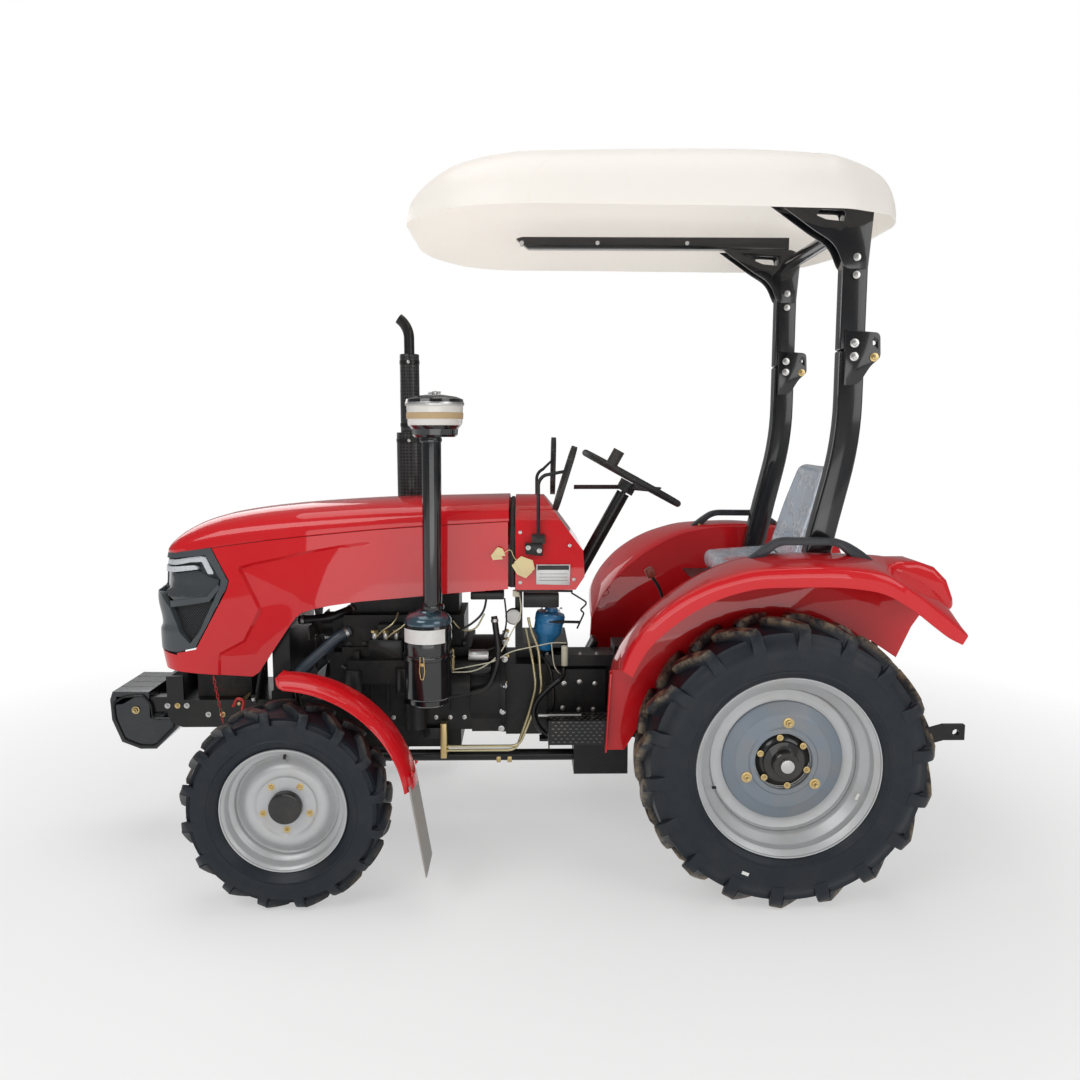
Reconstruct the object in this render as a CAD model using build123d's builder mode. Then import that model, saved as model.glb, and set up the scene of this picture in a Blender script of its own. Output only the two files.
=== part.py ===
"""Compact four-wheel-drive farm tractor with a folding canopy frame.

Millimetres. The front of the tractor points to -X, its right side to +Y, and Z is
up from the ground. The origin is on the ground under the middle of the machine.
Stations along the tractor are measured forward from the rear axle by ahead(). Those
of the engine and all before it are given for the drawn wheelbase, and move with the
front axle when the wheelbase changes, so the gearbox takes up the difference.
"""
from build123d import *
from math import asin, cos, pi, radians, sin, sqrt
import os

os.makedirs("parts", exist_ok=True)

# ---- driving dimensions ------------------------------------------------------
wheelbase = 1519
front_overhang = 729        # front face of the weights, ahead of the front axle
rear_reach = 672            # eyes of the lower links, behind the rear axle
running_gap = 5             # clearance between pieces that move past each other
fit = 0.3                   # clearance of pins and shafts in their bores

# wheels
rear_tyre_radius = 452
rear_tyre_width = 241
rear_half_track = 550
rear_rim_radius = 281       # outside of the rim flange
rear_rim_width = 203
front_tyre_radius = 320
front_tyre_width = 165
front_half_track = 565
front_rim_radius = 193
front_rim_width = 128
rim_sheet = 6

# front axle and steering
kingpin_y = 440
kingpin_radius = 20
barrel_radius = 48
axle_rise = 50              # the beam runs this far above the wheel centres
beam_height = 60
beam_width = 76
hub_radius = 62
steering_arm = 130          # straight back, so arms and tie rod are a parallelogram
tie_rod_radius = 12

# spine: stations ahead of the rear axle, and half widths
frame_front = 2042
engine_front = 1430
engine_rear = 979
clutch_rear = 859
gearbox_rear = 200
axle_housing_rear = -160
engine_half_width = 138
gearbox_half_width = 125
rail_thickness = 12
rail_bottom = 424
rail_top = 522
bracket_top = 607

# hood and cowl
hood_nose = 2030
hood_rear = 844
hood_half_width = 240
hood_shoulder_y = 212
hood_sheet = 5
hood_seal = 22              # seam between hood and cowl
hinge_ahead = 846
hinge_z = 1216
hinge_pin_radius = 3
cowl_rear = 589
cowl_bottom = 925

# fenders
fender_in_y = 410
fender_out_y = 690
fender_sheet = 5
skirt_height = 60

# canopy frame
post_out_y = 400
post_width = 55
post_depth = 78
post_rear = 268             # rear face of the upright stretch, behind the rear axle
fold_back = 294             # fold pin, behind the rear axle
fold_z = 1683
post_joint_z = 1705         # where the upper posts stand on the lower ones
rail_under_z = 2152
rail_over_z = 2198
canopy_sheet = 6
side_share = 0.12            # of the canopy's rise that its upright sides take
knee_share = 0.84            # half width and rise where the sides' slope meets the arch
knee_rise = 0.64

# steering wheel
steering_wheel_ahead = 408
steering_wheel_z = 1288
steering_wheel_radius = 188
steering_ring_radius = 12
column_tilt = 28.8          # of the column, from upright, top to the rear

# three-point hitch
link_pivot_back = 110
link_pivot_z = 330
link_pivot_radius = 14
link_pivot_y = 225
link_eye_z = 460
link_eye_y = 345
link_eye_radius = 30
link_pin_radius = 11.2
rockshaft_back = 120
rockshaft_z = 735
rockshaft_radius = 30
rod_foot_back = 400          # the lift rods' lower pins, behind the rear axle
rod_foot_y = 262
rod_pin_radius = 9
lift_arm_y = 196
lift_arm_width = 20

# ---- places worked out from them ---------------------------------------------
drawn_wheelbase = 1519      # the wheelbase that the stations are given for
fixed_stretch = 780         # stations up to here keep their distance to the rear axle
rear_axle_x = (wheelbase + front_overhang - rear_reach) / 2
rear_axle_z = rear_tyre_radius
front_axle_z = front_tyre_radius


def ahead(distance):
    """X of a station that is drawn this far ahead of the rear axle."""
    if distance > fixed_stretch:
        return rear_axle_x - distance - (wheelbase - drawn_wheelbase)
    return rear_axle_x - distance


front_axle_x = ahead(drawn_wheelbase)
beam_z = front_axle_z + axle_rise
SIDES = (("left", -1), ("right", 1))


def save(piece, name):
    """Label a finished piece and write it as its own file."""
    piece.part.label = name
    export_step(piece.part, "parts/" + name + ".step")


def side_plane(y):
    """Upright plane along the tractor: local X to the rear, local Y up, normal to -Y."""
    return Plane(origin=(0, y, 0), x_dir=(1, 0, 0), z_dir=(0, -1, 0))


def spot(forward, z):
    """A point of a side view: ahead of the rear axle, and above the ground."""
    return (ahead(forward), z)


def bar_along_x(x_front, x_rear, y, z, radius):
    """Round bar from x_front to x_rear in the open builder."""
    with BuildSketch(Plane(origin=(x_front, y, z), x_dir=(0, 1, 0), z_dir=(1, 0, 0))) as face:
        Circle(radius)
    extrude(face.sketch, amount=x_rear - x_front)


def bar_along_y(x, y_from, y_to, z, radius, mode=Mode.ADD):
    """Round bar from y_from to y_to in the open builder."""
    low, high = min(y_from, y_to), max(y_from, y_to)
    with BuildSketch(Plane(origin=(x, low, z), x_dir=(1, 0, 0), z_dir=(0, 1, 0))) as face:
        Circle(radius)
    extrude(face.sketch, amount=high - low, mode=mode)


def bar_along_z(x, y, z_from, z_to, radius, mode=Mode.ADD):
    """Round bar from z_from up to z_to in the open builder."""
    with BuildSketch(Plane.XY.offset(z_from)) as face:
        with Locations((x, y)):
            Circle(radius)
    extrude(face.sketch, amount=z_to - z_from, mode=mode)


def block(front, rear, y_from, y_to, z_from, z_to, mode=Mode.ADD):
    """Plain block between two stations, in the open builder."""
    with BuildSketch(Plane.XY.offset(z_from)) as face:
        with Locations(((ahead(front) + ahead(rear)) / 2, (y_from + y_to) / 2)):
            Rectangle(ahead(rear) - ahead(front), abs(y_to - y_from))
    extrude(face.sketch, amount=z_to - z_from, mode=mode)


def plate(outline, y_from, y_to, mode=Mode.ADD):
    """Flat plate with a side-view outline of spots, between two Y, in the open builder."""
    low, high = min(y_from, y_to), max(y_from, y_to)
    with BuildSketch(side_plane(low)) as face:
        with BuildLine():
            Polyline(*outline, close=True)
        make_face()
    extrude(face.sketch, amount=low - high, mode=mode)


# ---- wheels --------------------------------------------------------------------
def wheel_plane(x, half_track, z, side):
    """Plane of a wheel's section: local X is the radius, local Y points outboard."""
    return Plane(origin=(x, side * half_track, z), x_dir=(1, 0, 0), z_dir=(0, 0, side))


def revolve_about_wheel(x, z):
    revolve(axis=Axis((x, 0, z), (0, 1, 0)))


# name, x, z, half track, tyre radius, tyre width, rim radius, rim width
def flat_ring(axle_point, along, radius):
    """Section across a wheel's axle in flats that lie at this radius."""
    x, y, z = axle_point
    with BuildSketch(Plane(origin=(x, y + along, z), x_dir=(1, 0, 0), z_dir=(0, 1, 0))) as face:
        RegularPolygon(radius, tyre_flats, major_radius=False)
    return face.sketch


WHEEL_TABLE = (
    ("front", front_axle_x, front_axle_z, front_half_track, front_tyre_radius,
     front_tyre_width, front_rim_radius, front_rim_width),
    ("rear", rear_axle_x, rear_axle_z, rear_half_track, rear_tyre_radius,
     rear_tyre_width, rear_rim_radius, rear_rim_width),
)
bead_drop = {"front": 15, "rear": 27}         # bead seat below the flange
well_drop = {"front": 34, "rear": 58}         # drop well below the flange
disc_out = {"front": 0, "rear": 12}           # inner face of the disc, from mid-wheel
disc_dish = {"front": 18, "rear": 14}         # the middle of the disc stands this far out
disc_sheet = {"front": 7, "rear": 10}
hub_face = {"front": 552, "rear": 486}        # inner face of the hub, from the centre
hub_size = {"front": 52, "rear": 85}
shaft_size = {"front": 30, "rear": 32}
shaft_depth = 25                              # of the stub shaft in its bearing
tyre_flats = 24                               # round a tyre's body
lug_count = {"front": 16, "rear": 18}         # in each of a tyre's two rows
lug_height = {"front": 21, "rear": 28}
lug_width = {"front": 24, "rear": 32}
lug_sweep = {"front": 72, "rear": 104}        # a lug's outer end trails its inner end by this
hub_cap_size = {"front": 44, "rear": 48}
hub_cap_out = {"front": 62, "rear": 75}

for name, x, z, half_track, tyre_radius, tyre_width, rim_radius, rim_width in WHEEL_TABLE:
    seat_radius = rim_radius - bead_drop[name]
    well_radius = rim_radius - well_drop[name]
    half_rim = rim_width / 2
    disc_in = disc_out[name]
    disc_face = disc_in + disc_sheet[name]
    dish = disc_dish[name]
    hub = hub_size[name]
    hub_in = hub_face[name] - half_track
    for hand, side in SIDES:
        with BuildPart() as rim:
            with BuildSketch(wheel_plane(x, half_track, z, side)):
                with BuildLine():
                    Polyline(
                        (rim_radius, -half_rim), (seat_radius, -half_rim + 12),
                        (seat_radius - 3, -half_rim + 45), (well_radius, -half_rim + 58),
                        (well_radius, disc_face), (seat_radius - 3, half_rim - 40),
                        (seat_radius, half_rim - 12), (rim_radius, half_rim),
                        (rim_radius - rim_sheet, half_rim),
                        (seat_radius - rim_sheet, half_rim - 15),
                        (seat_radius - rim_sheet - 3, half_rim - 42),
                        (well_radius - rim_sheet, disc_face + 2),
                        (well_radius - rim_sheet, -half_rim + 56),
                        (seat_radius - rim_sheet - 3, -half_rim + 43),
                        (seat_radius - rim_sheet, -half_rim + 15),
                        (rim_radius - rim_sheet, -half_rim), close=True)
                make_face()
            revolve_about_wheel(x, z)
            with BuildSketch(wheel_plane(x, half_track, z, side)):
                with BuildLine():
                    Polyline(
                        (0, hub_in - shaft_depth), (shaft_size[name], hub_in - shaft_depth),
                        (shaft_size[name], hub_in), (hub, hub_in), (hub, disc_in + dish),
                        (hub + 25, disc_in + dish), (hub + 55, disc_in),
                        (well_radius - rim_sheet, disc_in), (well_radius - rim_sheet, disc_face),
                        (hub + 55, disc_face), (hub + 25, disc_face + dish),
                        (hub_cap_size[name], disc_face + dish),
                        (hub_cap_size[name] - 4, hub_cap_out[name]), (0, hub_cap_out[name]),
                        close=True)
                make_face()
            revolve_about_wheel(x, z)
        save(rim, name + "_rim_" + hand)

        half_tyre = tyre_width / 2
        carcass_radius = tyre_radius - lug_height[name]
        with BuildPart() as tyre:
            axle_point = (x, side * half_track, z)
            loft([flat_ring(axle_point, along, radius) for along, radius in (
                (-half_rim + 2, rim_radius + 12), (-half_tyre, (rim_radius + tyre_radius) / 2),
                (-half_tyre + 38, carcass_radius), (half_tyre - 38, carcass_radius),
                (half_tyre, (rim_radius + tyre_radius) / 2), (half_rim - 2, rim_radius + 12))],
                 ruled=True)
            # two rows of slanted lugs, half a pitch apart, that trail from the middle outwards
            lug_root = carcass_radius - 16
            lug_reach = (lug_sweep[name] + lug_width[name]) / 2
            lug_tip = sqrt(tyre_radius ** 2 - lug_reach ** 2)
            # a lug's corner stands on the ground
            first_turn = -pi / 2 - asin(lug_reach / tyre_radius)
            for row, row_side in enumerate((-1, 1)):
                lug_planes = []
                for number in range(lug_count[name]):
                    turn = first_turn + 2 * pi * (number + row / 2) / lug_count[name]
                    out = (cos(turn), 0, sin(turn))
                    lug_planes.append(Plane(
                        origin=(x + lug_root * out[0], side * half_track, z + lug_root * out[2]),
                        x_dir=(0, row_side, 0), z_dir=out))
                with BuildSketch(*lug_planes):
                    lead = -row_side * lug_sweep[name] / 2
                    half_lug = lug_width[name] / 2
                    with BuildLine():
                        Polyline((4, lead + half_lug), (4, lead - half_lug),
                                 (half_tyre - 13, -lead - half_lug),
                                 (half_tyre - 13, -lead + half_lug), close=True)
                    make_face()
                extrude(amount=lug_tip - lug_root)
            # the beads and the bore, clear of the rim
            loft([flat_ring(axle_point, along, radius) for along, radius in (
                (-half_rim + 1, rim_radius + 13), (-half_rim + 13, seat_radius + fit),
                (half_rim - 13, seat_radius + fit), (half_rim - 1, rim_radius + 13))],
                 ruled=True, mode=Mode.SUBTRACT)
        save(tyre, name + "_tyre_" + hand)


# ---- front axle, knuckles and tie rod --------------------------------------------
beam_bottom = beam_z - beam_height / 2
beam_top = beam_z + beam_height / 2
barrel_bottom = beam_bottom - 5
knuckle_top = barrel_bottom - running_gap
knuckle_bottom = front_axle_z - 95
pivot_pin_radius = 22
pivot_half = 42             # half length of the axle's pivot boss
hanger_thickness = 16
shaft_y = -125              # the drive shaft runs left of the middle
shaft_z = 307

with BuildPart() as front_axle:
    block(drawn_wheelbase + beam_width / 2, drawn_wheelbase - beam_width / 2,
          -kingpin_y, kingpin_y, beam_bottom, beam_top)
    for hand, side in SIDES:
        bar_along_z(front_axle_x, side * kingpin_y, barrel_bottom, beam_top + 12, barrel_radius)
        bar_along_z(front_axle_x, side * kingpin_y, knuckle_bottom + 10, barrel_bottom,
                    kingpin_radius)
    # differential housing with its pinion nose
    bar_along_y(front_axle_x, shaft_y - 68, shaft_y + 68, beam_z - 30, 62)
    bar_along_x(front_axle_x + 50, front_axle_x + 135, shaft_y, shaft_z, 38)
    # pivot pin in the hangers of the frame
    bar_along_x(front_axle_x - pivot_half - hanger_thickness,
                front_axle_x + pivot_half + hanger_thickness, 0, beam_z, pivot_pin_radius)
save(front_axle, "front_axle")

for hand, side in SIDES:
    with BuildPart() as knuckle:
        bar_along_z(front_axle_x, side * kingpin_y, knuckle_bottom, knuckle_top, barrel_radius + 2)
        block(drawn_wheelbase + 44, drawn_wheelbase - 44, side * kingpin_y, side * 496,
              knuckle_bottom, knuckle_top)
        bar_along_y(front_axle_x, side * 495, side * 545, front_axle_z, hub_radius)
        # steering arm reaching back and in
        with BuildSketch(Plane.XY.offset(knuckle_bottom + 20)):
            with BuildLine():
                Polyline(
                    (front_axle_x, side * (kingpin_y + 30)),
                    (front_axle_x + steering_arm + 14, side * (kingpin_y + 14)),
                    (front_axle_x + steering_arm + 14, side * (kingpin_y - 16)),
                    (front_axle_x, side * (kingpin_y - 35)), close=True)
            make_face()
        extrude(amount=18)
        # bores for the kingpin, the wheel's stub shaft and the tie rod's ball pin
        bar_along_z(front_axle_x, side * kingpin_y, knuckle_bottom + 10 - fit, knuckle_top,
                    kingpin_radius + fit, mode=Mode.SUBTRACT)
        bar_along_y(front_axle_x, side * (hub_face["front"] - shaft_depth - 2), side * 545,
                    front_axle_z, shaft_size["front"] + fit, mode=Mode.SUBTRACT)
        bar_along_z(front_axle_x + steering_arm, side * kingpin_y,
                    knuckle_bottom + 20, knuckle_bottom + 38, 8 + fit, mode=Mode.SUBTRACT)
    save(knuckle, "knuckle_" + hand)

tie_rod_z = knuckle_bottom - 2
with BuildPart() as tie_rod:
    bar_along_y(front_axle_x + steering_arm, -kingpin_y, kingpin_y, tie_rod_z, tie_rod_radius)
    for hand, side in SIDES:
        bar_along_z(front_axle_x + steering_arm, side * kingpin_y, tie_rod_z,
                    knuckle_bottom + 42, 8)
        bar_along_z(front_axle_x + steering_arm, side * kingpin_y, tie_rod_z - 14,
                    tie_rod_z + 14, 17)
save(tie_rod, "tie_rod")

# front mudguards: a curved sheet on a stay from the knuckle, and a rubber flap
guard_radius = 398
guard_in_y = 488
guard_out_y = 652
guard_sheet = 4
guard_inner_radius = guard_radius - guard_sheet
guard_front_angle = 98      # from the rear, upwards
guard_rear_angle = 8
flap_bottom_z = 117
for hand, side in SIDES:
    with BuildPart() as guard:
        with BuildSketch(side_plane(max(side * guard_in_y, side * guard_out_y))):
            with BuildLine():
                outer = CenterArc((front_axle_x, front_axle_z), guard_radius,
                                  guard_rear_angle, guard_front_angle - guard_rear_angle)
                inner = CenterArc((front_axle_x, front_axle_z), guard_inner_radius,
                                  guard_rear_angle, guard_front_angle - guard_rear_angle)
                Line(outer @ 0, inner @ 0)
                Line(outer @ 1, inner @ 1)
            make_face()
        extrude(amount=guard_out_y - guard_in_y)
        # stay: up from the knuckle inside the tyre, then out under the sheet
        stay_top = front_axle_z + guard_inner_radius * sin(radians(62))
        stay_x = front_axle_x + guard_inner_radius * cos(radians(62))
        with BuildSketch(side_plane(max(side * 462, side * 472))):
            with BuildLine():
                Polyline((front_axle_x + 45.2, front_axle_z - 50),
                         (front_axle_x + 84, front_axle_z - 50),
                         (stay_x + 26, stay_top - 22), (stay_x - 8, stay_top - 4), close=True)
            make_face()
        extrude(amount=10)
        with BuildSketch(side_plane(max(side * 462, side * guard_in_y))):
            with BuildLine():
                Polyline((stay_x - 30, stay_top - 6), (stay_x - 30, stay_top + 18),
                         (stay_x + 14, stay_top - 4), (stay_x + 14, stay_top - 28), close=True)
            make_face()
        extrude(amount=guard_in_y - 462)
    save(guard, "front_guard_" + hand)

    # the flap hangs from the inside of the guard's lower end
    flap_x = front_axle_x + guard_inner_radius * cos(radians(guard_rear_angle)) - fit
    flap_z = front_axle_z + guard_inner_radius * sin(radians(guard_rear_angle))
    with BuildPart() as flap:
        with BuildSketch(side_plane(max(side * guard_in_y, side * guard_out_y) - 4)):
            with BuildLine():
                Polyline((flap_x - 9, flap_z + 25), (flap_x - 5, flap_z + 25),
                         (flap_x, flap_z), (flap_x + 1, flap_z - 9),
                         (flap_x + 42, flap_bottom_z), (flap_x + 38, flap_bottom_z),
                         (flap_x - 4, flap_z - 9), close=True)
            make_face()
        extrude(amount=guard_out_y - guard_in_y - 8)
    save(flap, "mud_flap_" + hand)

# ---- front frame, weights, battery and radiator ----------------------------------
weight_count = 4
weight_width = 64
weight_pitch = 67
weight_rod_radius = 9
deck_thickness = 6
with BuildPart() as front_frame:
    rail_outline = (
        spot(frame_front, 470), spot(frame_front, bracket_top), spot(1984, bracket_top),
        spot(1984, rail_top), spot(1330, rail_top), spot(1330, rail_bottom),
        spot(1992, rail_bottom), spot(2030, 440))
    for side in (-1, 1):
        plate(rail_outline, side * (engine_half_width + rail_thickness), side * engine_half_width)
    # front cross plate, deck for the battery and radiator, and the weight arms
    block(frame_front, frame_front - 14, -engine_half_width, engine_half_width, 470, bracket_top)
    block(frame_front - 14, 1590, -engine_half_width, engine_half_width,
          rail_top - deck_thickness, rail_top)
    for side in (-1, 1):
        block(2110, frame_front, side * 96, side * 126, 474, 526)
    # hangers that carry the axle's pivot pin
    for x_front in (drawn_wheelbase + pivot_half + hanger_thickness,
                    drawn_wheelbase - pivot_half):
        block(x_front, x_front - hanger_thickness, -engine_half_width - rail_thickness,
              engine_half_width + rail_thickness, beam_top + 4, rail_bottom)
        block(x_front, x_front - hanger_thickness, -50, 50, beam_z - 50, beam_top + 4)
    with BuildSketch(Plane(origin=(ahead(drawn_wheelbase + 100), 0, beam_z), x_dir=(0, 1, 0),
                           z_dir=(1, 0, 0))):
        Circle(pivot_pin_radius + fit)
    extrude(amount=200, mode=Mode.SUBTRACT)
save(front_frame, "front_frame")

with BuildPart() as front_weights:
    slab_outline = (
        spot(2238, 548), spot(2248, 519), spot(2245, 446), spot(2214, 366), spot(2150, 340),
        spot(2094, 340), spot(2017, 414), spot(2013, 463), spot(2036, 470), spot(2044, 450),
        spot(2084, 444), spot(2112, 452), spot(2112, 546))
    slot_outline = (spot(2226, 530), spot(2230, 500), spot(2204, 503), spot(2160, 528))
    for number in range(weight_count):
        middle = (number - (weight_count - 1) / 2) * weight_pitch
        plate(slab_outline, middle - weight_width / 2, middle + weight_width / 2)
        plate(slot_outline, middle - weight_width / 2, middle + weight_width / 2,
              mode=Mode.SUBTRACT)
    half_stack = (weight_count * weight_pitch - 3) / 2
    bar_along_y(ahead(2159), -half_stack - 10, half_stack + 10, 482, weight_rod_radius)
    block(2130, 2112, -half_stack, half_stack, 470, 540)
save(front_weights, "front_weights")

with BuildPart() as battery:
    block(1950, 1760, -100, 100, rail_top, rail_top + 175)
    block(1944, 1766, -96, 96, rail_top + 175, rail_top + 190)
save(battery, "battery")

radiator_front, radiator_rear = 1660, 1600
radiator_top = 1035
with BuildPart() as radiator:
    block(radiator_front, radiator_rear, -185, 185, rail_top + 40, radiator_top - 50)
    block(radiator_front + 6, radiator_rear - 6, -190, 190, radiator_top - 50, radiator_top)
    block(radiator_front + 6, radiator_rear - 6, -190, 190, rail_top, rail_top + 40)
    bar_along_z(ahead(1630), -110, radiator_top, radiator_top + 18, 24)
save(radiator, "radiator")

# ---- engine -------------------------------------------------------------------------
sump_bottom = 335
block_bottom = 430
head_bottom = 705
cover_bottom = 815
cover_top = 880
crank_z = 545
fan_radius = 165
with BuildPart() as engine_block:
    block(engine_front, engine_rear, -engine_half_width, engine_half_width, block_bottom,
          head_bottom)
    # timing cover, crank pulley and water pump nose
    block(engine_front + 46, engine_front, -engine_half_width + 12, engine_half_width - 12,
          block_bottom, head_bottom - 20)
    bar_along_x(ahead(engine_front + 78), ahead(engine_front + 46), 0, crank_z, 78)
    bar_along_x(ahead(engine_front + 84), ahead(engine_front + 46), 0, 760, 45)
    block(engine_front + 46, engine_front, -60, 60, head_bottom - 20, 800)
    # sump
    block(engine_front, engine_rear, -engine_half_width + 8, engine_half_width - 8,
          block_bottom - 25, block_bottom)
    block(engine_front - 60, engine_rear + 40, -110, 110, sump_bottom, block_bottom - 25)
save(engine_block, "engine_block")

with BuildPart() as cylinder_head:
    block(engine_front - 5, engine_rear + 25, -118, 118, head_bottom, cover_bottom)
    block(engine_front - 20, engine_rear + 45, -70, 70, cover_bottom, cover_top)
    # intake manifold and its hose to the air cleaner
    block(1300, 1040, -162, -118, 735, 790)
    block(1150, 1090, -252 + fit, -162, 740, 785)
save(cylinder_head, "cylinder_head")

with BuildPart() as fan:
    bar_along_x(ahead(engine_front + 122), ahead(engine_front + 84), 0, 760, 36)
    fan_plane = Plane(origin=(ahead(engine_front + 110), 0, 760), x_dir=(0, 1, 0),
                      z_dir=(1, 0, 0))
    for blade in range(6):
        with BuildSketch(fan_plane.rotated((60 * blade, 0, 0))):
            with Locations((fan_radius / 2, 0)):
                Rectangle(fan_radius, 46)
        extrude(amount=5)
save(fan, "fan")

with BuildPart() as engine_accessories:
    # injection pump with its delivery unions
    block(1400, 1200, -196, -engine_half_width, 590, 672)
    for number in range(3):
        bar_along_z(ahead(1370 - 50 * number), -168, 672, 700, 11)
    # starter motor and its solenoid
    bar_along_x(ahead(1100), ahead(engine_rear), -185, 590, 45)
    bar_along_x(ahead(1070), ahead(engine_rear), -190, 655, 22)
    block(1060, 1000, -185, -engine_half_width, 570, 612)
    block(1060, 1000, -190, -engine_half_width, 632, 640)
    # oil filter on its foot
    bar_along_z(ahead(1170), -180, 430, 520, 38)
    block(1185, 1155, -180, -engine_half_width, 520, 536)
    # alternator on its bracket, on the right
    bar_along_x(ahead(1462), ahead(1330), 198, 620, 56)
    block(1430, 1350, engine_half_width, 150, 590, 650)
save(engine_accessories, "engine_accessories")

# steering unit on the shelf under the cowl: drum, flange and port block
unit_ahead = 705
unit_y = -86
unit_bottom = 715
with BuildPart() as steering_unit:
    bar_along_z(ahead(unit_ahead), unit_y, unit_bottom, unit_bottom + 14, 46)
    bar_along_z(ahead(unit_ahead), unit_y, unit_bottom + 14, unit_bottom + 104, 50)
    bar_along_z(ahead(unit_ahead), unit_y, unit_bottom + 104, unit_bottom + 116, 40)
    block(unit_ahead + 24, unit_ahead - 24, unit_y - 66, unit_y, unit_bottom + 20,
          unit_bottom + 50)
save(steering_unit, "steering_unit")


def pipe(route, radii, radius):
    """Round pipe along a route of (station, y, z) points, in the open builder."""
    points = [(ahead(station), y, z) for station, y, z in route]
    with BuildLine() as path:
        FilletPolyline(*points, radius=radii)
    with BuildSketch(Plane(origin=path.line @ 0, z_dir=path.line % 0)) as face:
        Circle(radius)
    sweep(face.sketch, path=path.line)


pipe_y = -172                # of the upright steering pipes, and of their manifold
port_y = unit_y - 66
with BuildPart() as hydraulic_pipes:
    # steering pipes: down from the unit, under the housings, forward to their manifold
    pipe(((724, port_y, 750), (724, port_y - 26, 750), (762, pipe_y - 18, 520),
          (800, pipe_y - 18, 408), (840, pipe_y - 14, 348), (1064, pipe_y + 6, 348)),
         [14, 60, 60, 40], 5)
    pipe(((690, port_y, 750), (690, port_y - 40, 750), (745, pipe_y - 32, 520),
          (780, pipe_y - 32, 400), (822, pipe_y - 28, 334), (1064, pipe_y - 6, 332)),
         [14, 60, 60, 40], 5)
    block(1084, 1064, pipe_y - 16, pipe_y + 14, 322, 446)
    block(1084, 1064, pipe_y + 14, -engine_half_width, 432, 446)
    # suction hose from the engine's side up to the cowl
    pipe(((1085, -engine_half_width, 512), (1085, -212, 512), (930, -220, 560),
          (868, -220, 700), (806, -190, 820), (806, -190, cowl_bottom)),
         [50, 60, 60, 50], 11)
    # coolant hose from the radiator's foot to the head
    pipe(((1600, -160, 600), (1552, -160, 600), (1404, -160, 760), (1404, -118, 760)),
         [30, 21], 19)
save(hydraulic_pipes, "hydraulic_pipes")

# ---- clutch housing, gearbox and rear axle -----------------------------------------------
with BuildPart() as clutch_housing:
    bar_along_x(ahead(engine_rear), ahead(clutch_rear), 0, crank_z, 170)
    block(engine_rear, clutch_rear, -engine_half_width, engine_half_width, 400, crank_z)
    # rear flange, bolted to the gearbox
    bar_along_x(ahead(clutch_rear + 14), ahead(clutch_rear), 0, crank_z, 184)
save(clutch_housing, "clutch_housing")

gearbox_bottom = 385
gearbox_top = 640
with BuildPart() as gearbox:
    block(clutch_rear, gearbox_rear, -gearbox_half_width, gearbox_half_width, gearbox_bottom,
          gearbox_top)
    # side cover, shift tower and the transfer case that drives the front axle
    block(706, 509, -gearbox_half_width - 40, -gearbox_half_width, 476, 630)
    block(470, 330, -70, 70, gearbox_top, 690)
    block(620, 430, shaft_y - 55, shaft_y + 75, shaft_z - 50, gearbox_bottom)
    # step on the left shoulder
    block(722, 480, -gearbox_half_width - 28, -gearbox_half_width + 40, gearbox_top,
          gearbox_top + 38)
save(gearbox, "gearbox")

with BuildPart() as drive_shaft:
    bar_along_x(front_axle_x + 135, ahead(620), shaft_y, shaft_z + 2, 20)
save(drive_shaft, "drive_shaft")

trumpet_radius = 70
pto_z = 470
pto_radius = 17.4
with BuildPart() as rear_axle:
    block(gearbox_rear, axle_housing_rear, -150, 150, 325, 620)
    for side in (-1, 1):
        bar_along_y(rear_axle_x, side * 150, side * 240, rear_axle_z, 112)
        bar_along_y(rear_axle_x, side * 240, side * 480, rear_axle_z, trumpet_radius)
        bar_along_y(rear_axle_x, side * (hub_face["rear"] - shaft_depth - 2), side * 480,
                    rear_axle_z, shaft_size["rear"] + fit, mode=Mode.SUBTRACT)
        # ears that carry the lower links
        block(-link_pivot_back + 30, -link_pivot_back - 30, side * 150, side * 203,
              link_pivot_z - 30, link_pivot_z + 40)
        bar_along_y(ahead(-link_pivot_back), side * 203, side * 250, link_pivot_z,
                    link_pivot_radius)
    # top link bracket
    for side in (-1, 1):
        block(axle_housing_rear, axle_housing_rear - 60, side * 22, side * 36, 540, 620)
    bar_along_y(ahead(axle_housing_rear - 38), -36, 36, 585, 9.7, mode=Mode.SUBTRACT)
    # power take-off stub
    bar_along_x(ahead(axle_housing_rear), ahead(axle_housing_rear - 90), 0, pto_z, pto_radius)
save(rear_axle, "rear_axle")

with BuildPart() as drawbar:
    block(-40, -420, -28, 28, 300, 325)
    bar_along_z(ahead(-385), 0, 300, 325, 13.5, mode=Mode.SUBTRACT)
save(drawbar, "drawbar")

lift_housing_top = 780
with BuildPart() as lift_housing:
    block(190, -150, -120, 120, 620, lift_housing_top)
    bar_along_y(ahead(-rockshaft_back), -120, 120, rockshaft_z, 45)
    bar_along_y(ahead(-rockshaft_back), -lift_arm_y, lift_arm_y, rockshaft_z, rockshaft_radius)
save(lift_housing, "lift_housing")


# ---- hood ------------------------------------------------------------------------------
def hood_section(station, half_width, shoulder_y, shoulder_z, crest_z, bottom_z, wall):
    """Section of the hood across the tractor, drawn in by the wall thickness."""
    with BuildSketch(Plane(origin=(ahead(station), 0, 0), x_dir=(0, 1, 0),
                           z_dir=(1, 0, 0))) as section:
        with BuildLine():
            low = half_width - wall
            high = shoulder_y - wall
            floor = bottom_z - (20 if wall else 0)
            Line((-low, floor), (-high, shoulder_z - wall))
            ThreePointArc((-high, shoulder_z - wall), (0, crest_z - wall), (high, shoulder_z - wall))
            Line((high, shoulder_z - wall), (low, floor))
            Line((low, floor), (-low, floor))
        make_face()
    return section.sketch


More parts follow.
